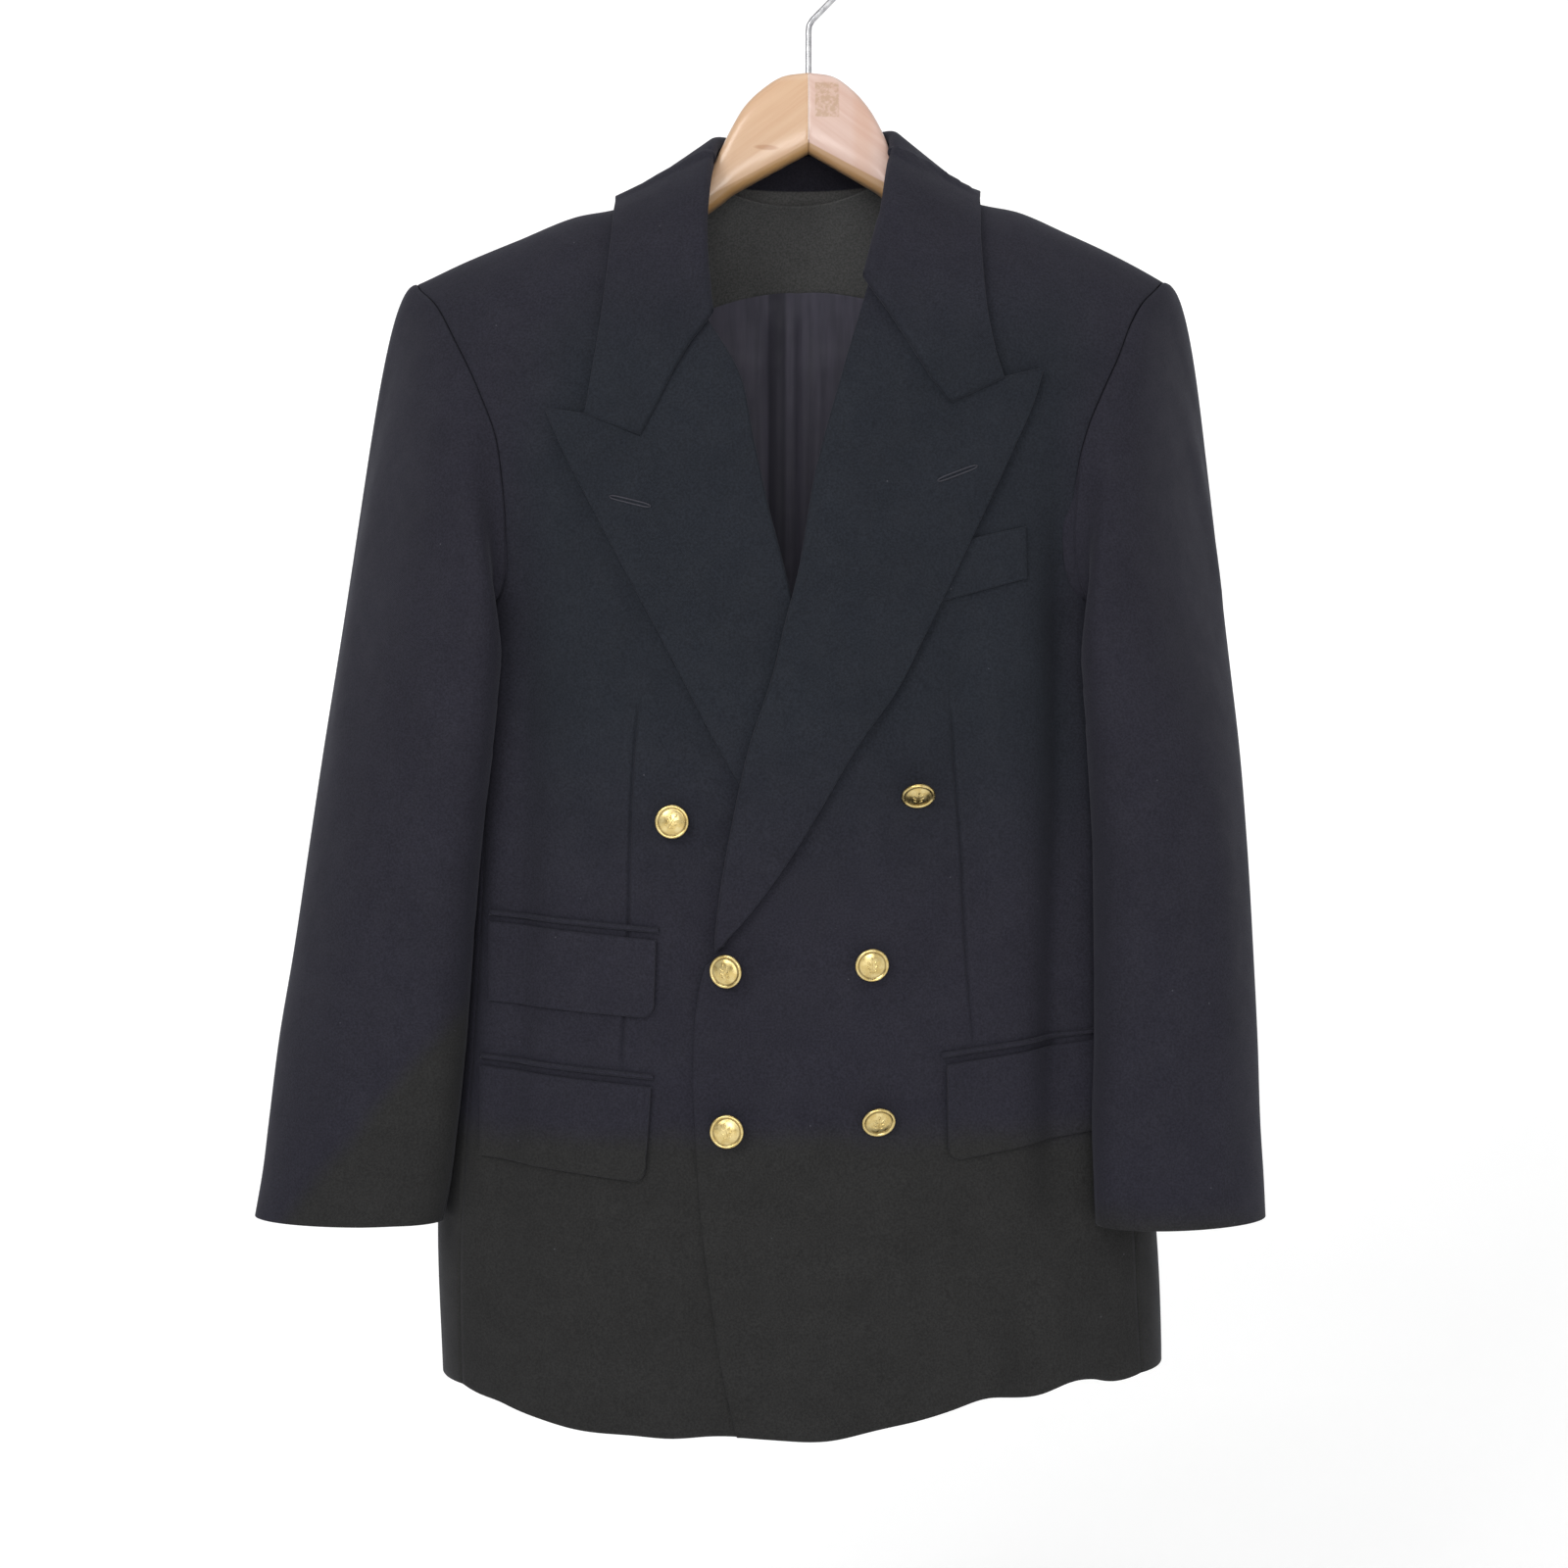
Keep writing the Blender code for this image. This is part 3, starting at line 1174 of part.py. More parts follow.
def make_hook(collection):
    curve = bpy.data.curves.new("hanger_hook", "CURVE")
    curve.dimensions = "3D"
    curve.bevel_depth = HOOK_WIRE
    curve.bevel_resolution = 2
    curve.use_fill_caps = True
    route = hook_route()
    line = curve.splines.new("POLY")
    line.points.add(len(route) - 1)
    for point, place in zip(line.points, route):
        point.co = (*place, 1.0)
    item = bpy.data.objects.new("hanger_hook", curve)
    item.data.materials.append(make_material("hanger_hook", "steel"))
    collection.objects.link(item)


def main():
    collection = start_scene()
    make_fronts(collection)
    make_sides(collection)
    make_backs(collection)
    make_sleeves(collection)
    make_lapels(collection)
    make_collar(collection)
    make_pockets(collection)
    make_neck_inside(collection)
    make_buttons(collection)
    make_hanger(collection)
    make_hook(collection)


main()
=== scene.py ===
"""Looks of a double-breasted jacket on a wooden hanger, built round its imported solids.

Metres, +Z up. The front faces -Y, and the wearer's left side is at +X.
"""
import math

import bpy
import numpy as np
from mathutils import Matrix, Vector


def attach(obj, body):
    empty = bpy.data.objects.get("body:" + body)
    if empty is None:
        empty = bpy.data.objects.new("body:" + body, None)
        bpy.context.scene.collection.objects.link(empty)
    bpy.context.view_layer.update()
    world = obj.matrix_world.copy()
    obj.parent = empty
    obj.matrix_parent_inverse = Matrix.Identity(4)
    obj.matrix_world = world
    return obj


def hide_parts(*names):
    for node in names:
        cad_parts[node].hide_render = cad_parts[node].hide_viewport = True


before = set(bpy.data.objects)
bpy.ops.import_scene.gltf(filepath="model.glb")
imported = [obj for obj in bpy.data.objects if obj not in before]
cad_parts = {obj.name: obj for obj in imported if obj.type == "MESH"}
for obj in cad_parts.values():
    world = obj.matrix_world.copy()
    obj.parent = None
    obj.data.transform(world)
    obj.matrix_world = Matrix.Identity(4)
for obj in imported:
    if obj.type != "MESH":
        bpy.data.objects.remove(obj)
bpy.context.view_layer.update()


# Driving dimensions, as in the solids
# Driving dimensions
CLOTH = 0.0020            # wall of one layer of jacket cloth
LINING_GAP = 0.0029       # between the lining and the cloth it hangs in
LINING = 0.0012           # wall of the lining
FACING = 0.0014           # wall of the facing inside the back of the neck
FACING_LOW_TURN = 0.66    # how far down the body the facing reaches
LINING_REACH = 0.165      # from the centre line to the lining's sides, low down
LINING_SHORT = 0.022      # how far the lining ends over the back's hem
PLEAT_X = -0.019          # the pleat in the lining
PLEAT_DEPTH = 0.0045
PLEAT_WIDTH = 0.007       # from its middle to where it is a third as deep
SEAM_GAP = 0.0003         # between the edges of two sewn pieces
SEAM_HALF = 0.00018       # what each of two sewn edges gives up for that gap
GORGE_HALF = 0.0005       # the same, measured up and down, at the slanting gorge
CENTRE_X = -0.006         # centre line of the body, which hangs a little off the hook
ROUNDNESS = 2.7           # 2 is an ellipse, more is a boxier body
ARM_ROUNDNESS = 3.2       # the same for the hanger's sections
NECK_ROLL = 0.165         # height over which a shoulder rounds off, at the neck
TIP_ROLL = 0.115          # the same at the shoulder tip
SHOULDER_REACH = 0.25     # centre line to shoulder tip
SHOULDER_FORWARD = 0.012  # how far the tips come forward
FRONT_SEAM = 0.915        # side seams, as shares of the half width
BACK_SEAM = 0.930
ARMPIT_Z = -0.442
ARMPIT_DIP = 0.014
BACK_HEM_Z = -0.912
FOLD_RADIUS = 0.0026      # outer radius where a lapel or the collar turns over
FOLD_SETBACK = 0.0013     # a front's edge stops this much short of the lapel's fold
FOLD_LIFT = 0.0038        # outer face of a lapel over its front, at the fold
EDGE_LIFT = 0.0052        # the same at its outer edge
GORGE_REACH = 0.3125      # share of the collar's length that bends towards its gorge
GORGE_FADE = 1.6          # power at which that bend dies out
NOTCH_POINTS = 7          # points of a gorge table that the collar shares
STAND_INSET = 0.0026      # the collar stand, inside the seam to the neckline
STAND_RISE = 0.0034       # its lower edge, over that seam
STAND_TOP_DROP = 0.0074   # its upper edge, under the fold
STAND_WALL = 0.0016
STAND_ENDS = (0.085, 0.915)   # its ends, as shares of the collar's length
OVERLAP_LIFT = 0.0025     # the left front where it lies on the right one
LAPEL_COVER_LIFT = 0.0043 # what it rises more where the right lapel lies between
OVERLAP_END = 0.074       # x where that starts
OVERLAP_BLEND = 0.030     # width over which the left front comes down again
SLEEVE_CLEARANCE = 0.0050 # between a sleeve and the body below the armpit
ARMHOLE_MIDDLE = (-0.010, -0.335)   # y, z that degrees round an armhole are counted from
SLEEVE_SEAMS = (166.0, 262.0)       # degrees round a sleeve, from its outer side over the front
SLEEVE_TWIST = 14.0       # radians that its inner side turns back for each metre of slant
SLEEVE_TRIM = 0.0008      # what each edge of a sleeve's seam gives up
CAP_PUSH = 0.006          # how far a sleeve leaves the armhole sideways, at the least
CAP_FULLNESS = 0.012      # what it leaves more by, at its top and at its front and back
CAP_SPREAD = 0.010        # how far it leaves forward and back
CAP_HANG = 0.150          # length of the pull that keeps the sleeve's top hanging straight
FLAP_LIFT = 0.0030
JET_LIFT = 0.0023
JET_WALL = 0.0014
WELT_LIFT = 0.0021
WELT_WALL = 0.0016
FLAP_CORNER = 0.009       # radius of a flap's free front corner
BUTTON_RADIUS = 0.01025
RIM_HEIGHT = 0.0022       # of a button's rim over the back of its disc
FRONT_EDGE_X = -0.075     # buttons with a larger x are on the left front
SHANK_RADIUS = 0.0017
SHANK_LENGTH = 0.0044
HOOK_WIRE = 0.0020        # radius of the hook's wire
HOOK_RADIUS = 0.0230      # centre line of its bend
HANGER_CENTRE_TOP = -0.0857
HOOK_STEM = (
    # x, z
    (0.0, -0.0730),
    (0.0, -0.0585),
    (0.0004, -0.0550),
    (0.0024, -0.0515),
)
# Body sections: how far the body reaches left, right, forward and back at a height
SECTIONS = (
    # z, left, right, front, back
    (-0.960, 0.226, 0.229, 0.114, 0.098),
    (-0.820, 0.228, 0.225, 0.110, 0.092),
    (-0.700, 0.220, 0.217, 0.105, 0.086),
    (-0.600, 0.214, 0.210, 0.103, 0.082),
    (-0.520, 0.213, 0.207, 0.106, 0.084),
    (-0.440, 0.218, 0.209, 0.107, 0.090),
    (-0.360, 0.238, 0.224, 0.102, 0.094),
    (-0.280, 0.258, 0.240, 0.094, 0.094),
    (-0.200, 0.276, 0.256, 0.086, 0.088),
    (-0.120, 0.290, 0.270, 0.078, 0.080),
)
# Ridge of the shoulders, carried on across the neck opening
RIDGE = (
    # x, z
    (-0.256, -0.2275),
    (-0.248, -0.2240),
    (-0.220, -0.2105),
    (-0.184, -0.1950),
    (-0.148, -0.1800),
    (-0.121, -0.1742),
    (-0.080, -0.1530),
    (-0.045, -0.1380),
    (-0.006, -0.1300),
    (0.032, -0.1360),
    (0.066, -0.1490),
    (0.105, -0.1703),
    (0.135, -0.1775),
    (0.1625, -0.1900),
    (0.191, -0.2035),
    (0.223, -0.2210),
    (0.232, -0.2265),
)
# Outlines seen from the front, from the top down
ROLL_RIGHT = (
    # x, z
    (-0.0620, -0.2607),
    (-0.0423, -0.2944),
    (-0.0328, -0.3369),
    (-0.0240, -0.3774),
    (-0.0169, -0.4051),
    (-0.0075, -0.4428),
    (0.0042, -0.4838),
    (0.0200, -0.5424),
    (0.0366, -0.6012),
    (0.0465, -0.6376),
)
ROLL_LEFT = (
    # x, z
    (0.0349, -0.2385),
    (0.0148, -0.3080),
    (0.0030, -0.3526),
    (-0.0093, -0.4222),
    (-0.0158, -0.4473),
    (-0.0239, -0.4806),
    (-0.0368, -0.5202),
    (-0.0473, -0.5682),
    (-0.0544, -0.6103),
    (-0.0579, -0.6419),
)
EDGE_RIGHT = (
    # x, z
    (0.0505, -0.6480),
    (0.0570, -0.6700),
    (0.0600, -0.7200),
    (0.0590, -0.8000),
    (0.0500, -0.8900),
    (0.0440, -0.9300),
)
EDGE_LEFT = (
    # x, z
    (-0.0611, -0.6483),
    (-0.0658, -0.6630),
    (-0.0687, -0.6806),
    (-0.0704, -0.7170),
    (-0.0692, -0.7526),
    (-0.0650, -0.8102),
    (-0.0591, -0.8544),
    (-0.0532, -0.8928),
    (-0.0438, -0.9340),
)
NECKLINE_RIGHT = (
    # x, z
    (-0.0800, -0.1530),
    (-0.0782, -0.1800),
    (-0.0745, -0.2150),
    (-0.0690, -0.2450),
)
NECKLINE_LEFT = (
    # x, z
    (0.0660, -0.1490),
    (0.0625, -0.1750),
    (0.0540, -0.2050),
    (0.0430, -0.2280),
)
LAPEL_EDGE_RIGHT = (
    # x, z
    (-0.1602, -0.3151),
    (-0.1511, -0.3362),
    (-0.1294, -0.3793),
    (-0.0867, -0.4597),
    (-0.0439, -0.5401),
    (-0.0158, -0.5835),
    (0.0136, -0.6159),
    (0.0389, -0.6376),
)
LAPEL_EDGE_LEFT = (
    # x, z
    (0.1413, -0.2906),
    (0.1343, -0.3132),
    (0.1240, -0.3366),
    (0.0940, -0.4010),
    (0.0697, -0.4511),
    (0.0492, -0.4909),
    (0.0281, -0.5202),
    (0.0071, -0.5559),
    (-0.0134, -0.5893),
    (-0.0345, -0.6187),
    (-0.0503, -0.6374),
)
# Gorge seam from the roll line to the notch, then the collar's front edge, then the peak
GORGE_RIGHT = (
    # x, z
    (-0.0620, -0.2607),
    (-0.0735, -0.2760),
    (-0.0835, -0.2930),
    (-0.0925, -0.3120),
    (-0.1024, -0.3331),
    (-0.1185, -0.3262),
    (-0.1358, -0.3190),
    (-0.1602, -0.3151),
)
GORGE_LEFT = (
    # x, z
    (0.0349, -0.2385),
    (0.0480, -0.2570),
    (0.0620, -0.2790),
    (0.0745, -0.2990),
    (0.0846, -0.3127),
    (0.1000, -0.3050),
    (0.1169, -0.2966),
    (0.1413, -0.2906),
)
ARMHOLE_FRONT_RIGHT = (
    # x, z
    (-0.2500, -0.2250),
    (-0.2431, -0.2331),
    (-0.2333, -0.2430),
    (-0.2193, -0.2676),
    (-0.2019, -0.3031),
    (-0.1910, -0.3325),
    (-0.1875, -0.3571),
    (-0.1856, -0.3910),
    (-0.1870, -0.4180),
    (-0.1935, -0.4330),
)
ARMHOLE_FRONT_LEFT = (
    # x, z
    (0.2285, -0.2245),
    (0.2150, -0.2346),
    (0.2080, -0.2420),
    (0.1983, -0.2590),
    (0.1896, -0.2805),
    (0.1790, -0.3030),
    (0.1706, -0.3226),
    (0.1650, -0.3430),
    (0.1622, -0.3700),
    (0.1612, -0.3980),
    (0.1640, -0.4180),
    (0.1715, -0.4320),
)
ARMHOLE_BACK_RIGHT = (
    # x, z
    (-0.2500, -0.2250),
    (-0.2400, -0.2420),
    (-0.2240, -0.2750),
    (-0.2100, -0.3100),
    (-0.2010, -0.3500),
    (-0.1980, -0.3900),
    (-0.2010, -0.4230),
)
ARMHOLE_BACK_LEFT = (
    # x, z
    (0.2285, -0.2245),
    (0.2170, -0.2420),
    (0.2020, -0.2750),
    (0.1900, -0.3100),
    (0.1830, -0.3500),
    (0.1810, -0.3900),
    (0.1835, -0.4230),
)
# Hem seen from the front
HEM = (
    # x, z
    (-0.235, -0.9050),
    (-0.196, -0.9133),
    (-0.1555, -0.9276),
    (-0.0902, -0.9333),
    (-0.0456, -0.9329),
    (-0.0023, -0.9352),
    (0.0487, -0.9266),
    (0.0863, -0.9171),
    (0.1040, -0.9100),
    (0.1363, -0.9107),
    (0.1545, -0.9036),
    (0.1865, -0.9046),
    (0.225, -0.8970),
)
# Collar sections from the right gorge round the back of the neck to the left gorge:
# the fold at the top, the outer edge, and the seam to the neckline
COLLAR = (
    # fold x, y, z, edge x, y, z, seam x, y, z
    (-0.0620, -0.0965, -0.2607, -0.1358, -0.1000, -0.3190, -0.0655, -0.0880, -0.2550),
    (-0.0650, -0.0850, -0.2330, -0.1318, -0.0960, -0.2920, -0.0700, -0.0790, -0.2360),
    (-0.0662, -0.0660, -0.2020, -0.1270, -0.0870, -0.2580, -0.0755, -0.0650, -0.2040),
    (-0.0650, -0.0420, -0.1680, -0.1232, -0.0660, -0.2130, -0.0785, -0.0430, -0.1760),
    (-0.0642, -0.0180, -0.1420, -0.1220, -0.0330, -0.1808, -0.0800, -0.0190, -0.1590),
    (-0.0618, 0.0040, -0.1285, -0.1190, 0.0040, -0.1700, -0.0795, 0.0050, -0.1525),
    (-0.0515, 0.0280, -0.1230, -0.1030, 0.0380, -0.1762, -0.0670, 0.0290, -0.1555),
    (-0.0300, 0.0430, -0.1210, -0.0640, 0.0620, -0.1825, -0.0390, 0.0480, -0.1635),
    (-0.0060, 0.0480, -0.1205, -0.0060, 0.0690, -0.1835, -0.0060, 0.0535, -0.1670),
    (0.0180, 0.0430, -0.1200, 0.0500, 0.0610, -0.1800, 0.0270, 0.0480, -0.1625),
    (0.0435, 0.0280, -0.1205, 0.0880, 0.0370, -0.1728, 0.0540, 0.0290, -0.1535),
    (0.0562, 0.0040, -0.1245, 0.1060, 0.0040, -0.1668, 0.0655, 0.0050, -0.1485),
    (0.0560, -0.0180, -0.1385, 0.1072, -0.0330, -0.1775, 0.0650, -0.0190, -0.1560),
    (0.0515, -0.0420, -0.1620, 0.1058, -0.0640, -0.2062, 0.0620, -0.0430, -0.1730),
    (0.0470, -0.0660, -0.1900, 0.1074, -0.0850, -0.2480, 0.0560, -0.0640, -0.1960),
    (0.0410, -0.0840, -0.2150, 0.1118, -0.0940, -0.2775, 0.0470, -0.0790, -0.2200),
    (0.0349, -0.0960, -0.2385, 0.1169, -0.0980, -0.2966, 0.0385, -0.0880, -0.2340),
)
# Sleeve sections below the armpit: where they reach outward and inward, how far forward
# their middle lies, half their depth, and how much further back the outer side lies
SLEEVE_RIGHT = (
    # z, outer, inner, middle, depth, slant
    (-0.470, -0.3048, -0.1877, -0.038, 0.052, 0.0490),
    (-0.517, -0.3100, -0.1926, -0.042, 0.050, 0.0400),
    (-0.583, -0.3173, -0.2012, -0.045, 0.049, 0.0290),
    (-0.649, -0.3257, -0.2068, -0.048, 0.046, 0.0240),
    (-0.701, -0.3333, -0.2106, -0.051, 0.044, 0.0205),
    (-0.754, -0.3387, -0.2162, -0.054, 0.041, 0.0165),
    (-0.784, -0.3415, -0.2200, -0.056, 0.039, 0.0135),
    (-0.811, -0.3453, -0.2255, -0.057, 0.037, 0.0094),
)
SLEEVE_LEFT = (
    # z, outer, inner, middle, depth, slant
    (-0.470, 0.2722, 0.1647, -0.040, 0.052, 0.0500),
    (-0.517, 0.2735, 0.1681, -0.050, 0.050, 0.0370),
    (-0.583, 0.2748, 0.1720, -0.060, 0.050, 0.0250),
    (-0.649, 0.2761, 0.1725, -0.068, 0.048, 0.0190),
    (-0.701, 0.2772, 0.1722, -0.074, 0.046, 0.0170),
    (-0.754, 0.2778, 0.1706, -0.080, 0.043, 0.0160),
    (-0.784, 0.2792, 0.1713, -0.083, 0.041, 0.0160),
    (-0.8075, 0.2800, 0.1720, -0.085, 0.039, 0.0160),
)
# Corners of the pocket pieces
FLAPS = (
    # name, inner top x, z, outer top x, z, inner bottom x, z, outer bottom x, z
    ("ticket_flap", -0.0923, -0.6365, -0.1960, -0.6264, -0.0935, -0.6838, -0.1960, -0.6750),
    ("hip_flap_right", -0.0951, -0.7245, -0.2010, -0.7145, -0.0985, -0.7820, -0.2010, -0.7690),
    ("hip_flap_left", 0.0813, -0.7110, 0.1880, -0.6960, 0.0822, -0.7690, 0.1880, -0.7500),
)
JETS = (
    # name, inner x, z, outer x, z
    ("ticket_jet", -0.0910, -0.6324, -0.1960, -0.6228),
    ("hip_jet_right", -0.0940, -0.7204, -0.2010, -0.7105),
    ("hip_jet_left", 0.0785, -0.7070, 0.1880, -0.6923),
)
JET_WIDTH = 0.0034
WELT = (
    # x, z of the inner top, outer top, inner bottom and outer bottom corners
    (0.0860, -0.3972),
    (0.1304, -0.3869),
    (0.0720, -0.4348),
    (0.1309, -0.4183),
)
BUTTONS = (
    # x, z, nod, swing: degrees that the face looks down and to the side
    (-0.0826, -0.5647, 4, 0),
    (0.0639, -0.5477, 48, 4),
    (-0.0497, -0.6544, 6, -20),
    (0.0364, -0.6503, 14, 6),
    (-0.0497, -0.7500, 4, -4),
    (0.0404, -0.7436, 30, 8),
)
# Hanger arms from the centre joint outward: top and bottom edge and thickness
ARM_RIGHT = (
    # x, top, bottom, thick
    (-0.00018, -0.0857, -0.1372, 0.0180),
    (-0.0176, -0.0886, -0.1467, 0.0182),
    (-0.0290, -0.0958, -0.1529, 0.0186),
    (-0.0403, -0.1065, -0.1591, 0.0190),
    (-0.0495, -0.1215, -0.1645, 0.0190),
    (-0.0550, -0.1325, -0.1690, 0.0185),
    (-0.0610, -0.1450, -0.1735, 0.0185),
    (-0.0680, -0.1560, -0.1780, 0.0190),
    (-0.0800, -0.1625, -0.1840, 0.0210),
    (-0.1000, -0.1700, -0.1915, 0.0250),
    (-0.1300, -0.1815, -0.2050, 0.0280),
    (-0.1650, -0.1965, -0.2210, 0.0310),
    (-0.2000, -0.2130, -0.2360, 0.0320),
    (-0.2220, -0.2270, -0.2430, 0.0240),
    (-0.2290, -0.2350, -0.2430, 0.0100),
)
ARM_LEFT = (
    # x, top, bottom, thick
    (0.00018, -0.0857, -0.1372, 0.0180),
    (0.0164, -0.0886, -0.1467, 0.0182),
    (0.0275, -0.0964, -0.1531, 0.0186),
    (0.0384, -0.1085, -0.1595, 0.0190),
    (0.0455, -0.1205, -0.1640, 0.0190),
    (0.0495, -0.1290, -0.1680, 0.0185),
    (0.0535, -0.1405, -0.1720, 0.0185),
    (0.0590, -0.1535, -0.1770, 0.0190),
    (0.0700, -0.1605, -0.1820, 0.0210),
    (0.0880, -0.1670, -0.1890, 0.0250),
    (0.1150, -0.1770, -0.2010, 0.0280),
    (0.1450, -0.1905, -0.2150, 0.0310),
    (0.1780, -0.2075, -0.2310, 0.0320),
    (0.2000, -0.2230, -0.2400, 0.0240),
    (0.2070, -0.2320, -0.2400, 0.0100),
)
NECK_SHARE = 0.40         # share of a back's columns that its neckline takes
SIDE_HEM_REACH = 0.200
BACK_NECK_TURN = 0.43     # how far the back neckline dips

# Grids of the visible cloth
SEAM_ROWS = 96
ARMHOLE_ROWS = 76
SIDE_COLUMNS = 30
FRONT_COLUMNS = 84
BACK_COLUMNS = 76
CAP_STEPS = tuple(np.linspace(0.0, 1.0, 44) ** 1.4)
METRES_A_DEGREE = 0.0010  # round a sleeve
UNDERARM_POINTS = 40
SLEEVE_EDGE_STEP = 1.0    # degrees
SLEEVE_LEAST_STEP = 1.0
# Seams are drawn closer here than the solids' edges
ARMHOLE_STEP = 0.00035
FACING_REACH = 0.063
SIDE_TRIM = 0.0016
SIDE_TUCK = (
    # angle past the side seam, and depth under the panel beside it
    (0.024, 0.0024),
    (0.005, 0.0016),
)
SHOULDER_TRIM = 0.0025
ALLOWANCE = (
    # in under the panels, and towards the armhole's middle
    (0.0075, 0.0040),
    (0.0035, 0.0034),
    (0.0012, 0.0026),
    (0.0003, 0.0014),
    (0.0, 0.0006),
)

# Seams and folds that show
DART_DEPTH = 0.0020
DART_WIDTH = 0.0010
DART_RIGHT = (
    # x, z
    (-0.1018, -0.4841),
    (-0.1041, -0.5006),
    (-0.1085, -0.5702),
    (-0.1097, -0.6246),
    (-0.1137, -0.7112),
)
DART_LEFT = (
    # x, z
    (0.0844, -0.4853),
    (0.0862, -0.5230),
    (0.0905, -0.5796),
    (0.0941, -0.6487),
    (0.0987, -0.6959),
)
# Soft ridges (above zero) and troughs (below zero), each along a line
FRONT_CREASES = (
    # from x, z, to x, z, half width, height
    (-0.176, -0.400, -0.184, -0.840, 0.013, -0.0060),
    (0.154, -0.360, 0.152, -0.820, 0.014, -0.0110),
    (0.0900, -0.430, 0.0925, -0.560, 0.011, -0.0022),
    (-0.1500, -0.3600, -0.0560, -0.5400, 0.008, -0.0016),
    (0.0850, -0.4200, 0.0150, -0.5600, 0.008, -0.0014),
    (0.1180, -0.450, 0.1230, -0.640, 0.014, 0.0016),
    (-0.0800, -0.660, -0.0630, -0.930, 0.009, -0.0018),
    (-0.1180, -0.815, -0.0900, -0.838, 0.010, 0.0010),
    (0.0120, -0.792, 0.0780, -0.820, 0.012, 0.0012),
    (0.1000, -0.830, 0.1080, -0.945, 0.012, 0.0030),
    (0.1450, -0.810, 0.1550, -0.945, 0.013, 0.0034),
    (0.1260, -0.840, 0.1300, -0.940, 0.010, -0.0024),
    (-0.1500, -0.800, -0.1420, -0.950, 0.014, 0.0020),
    (-0.1420, -0.420, -0.1500, -0.620, 0.016, 0.0015),
    (-0.2200, -0.245, -0.1500, -0.262, 0.010, -0.0010),
    (0.2000, -0.240, 0.1350, -0.255, 0.010, -0.0010),
)
BACK_CREASES = (
    # from x, z, to x, z, half width, height
    (-0.132, -0.380, -0.112, -0.760, 0.022, -0.0030),
    (0.106, -0.360, 0.122, -0.720, 0.024, -0.0034),
    (-0.058, -0.320, -0.036, -0.640, 0.026, 0.0024),
    (0.062, -0.340, 0.046, -0.680, 0.022, 0.0020),
    (-0.152, -0.520, -0.164, -0.880, 0.017, 0.0026),
    (0.146, -0.560, 0.158, -0.890, 0.016, 0.0028),
    (0.040, -0.780, 0.052, -0.930, 0.020, 0.0022),
    (-0.070, -0.760, -0.084, -0.930, 0.022, 0.0018),
    (-0.100, -0.250, 0.090, -0.262, 0.013, -0.0014),
    (-0.170, -0.300, -0.120, -0.350, 0.012, -0.0016),
    (0.150, -0.310, 0.100, -0.352, 0.012, -0.0014),
)
LINING_CREASES = (
    # from x, z, to x, z, half width, height
    (-0.0360, -0.265, -0.0420, -0.470, 0.0060, 0.0018),
    (0.0080, -0.262, 0.0020, -0.450, 0.0050, 0.0016),
    (-0.0560, -0.280, -0.0520, -0.520, 0.0060, 0.0014),
    (0.0300, -0.290, 0.0240, -0.560, 0.0080, 0.0020),
    (0.0900, -0.460, 0.0960, -0.820, 0.0140, 0.0024),
    (-0.1000, -0.430, -0.0940, -0.800, 0.0130, 0.0024),
    (-0.0100, -0.520, -0.0060, -0.840, 0.0100, 0.0020),
)
# The same on a sleeve, from the distance round it (0 on the outside, up at the front) and z
SLEEVE_CREASES_RIGHT = (
    # from round, z, to round, z, half width, height
    (0.030, -0.320, 0.044, -0.540, 0.012, 0.0020),
    (0.150, -0.560, 0.085, -0.535, 0.011, -0.0018),
    (0.158, -0.630, 0.095, -0.655, 0.010, -0.0015),
    (0.070, -0.560, 0.075, -0.760, 0.014, 0.0016),
    (0.120, -0.700, 0.115, -0.820, 0.012, -0.0014),
    (0.104, -0.360, 0.080, -0.420, 0.009, -0.0012),
    (-0.060, -0.480, -0.045, -0.640, 0.012, -0.0020),
    (0.205, -0.560, 0.245, -0.585, 0.010, -0.0016),
    (0.220, -0.680, 0.215, -0.800, 0.012, 0.0014),
)
SLEEVE_CREASES_LEFT = (
    # from round, z, to round, z, half width, height
    (0.026, -0.300, 0.032, -0.450, 0.009, 0.0026),
    (0.102, -0.388, 0.066, -0.382, 0.0045, -0.0013),
    (0.156, -0.585, 0.095, -0.556, 0.011, -0.0018),
    (0.160, -0.650, 0.100, -0.676, 0.011, -0.0015),
    (0.058, -0.520, 0.060, -0.740, 0.013, 0.0018),
    (0.118, -0.700, 0.122, -0.815, 0.012, -0.0015),
    (-0.055, -0.500, -0.040, -0.650, 0.012, -0.0020),
    (0.205, -0.570, 0.245, -0.600, 0.010, -0.0016),
)
HOLE_HALF = 0.0011        # half the width of a worked buttonhole
LAPEL_HOLES = (
    # side, name, start x and z, end x and z
    (-1, "buttonhole_right", (-0.1199, -0.3700), (-0.0957, -0.3762)),
    (1, "buttonhole_left", (0.0760, -0.3613), (0.0997, -0.3516)),
)
BUTTON_FACE = (
    # radius, height above the back of the disc
    (0.0003, 0.0040),
    (0.0020, 0.00394),
    (0.0040, 0.00370),
    (0.0058, 0.00328),
    (0.0072, 0.00276),
    (0.0079, 0.00250),
)
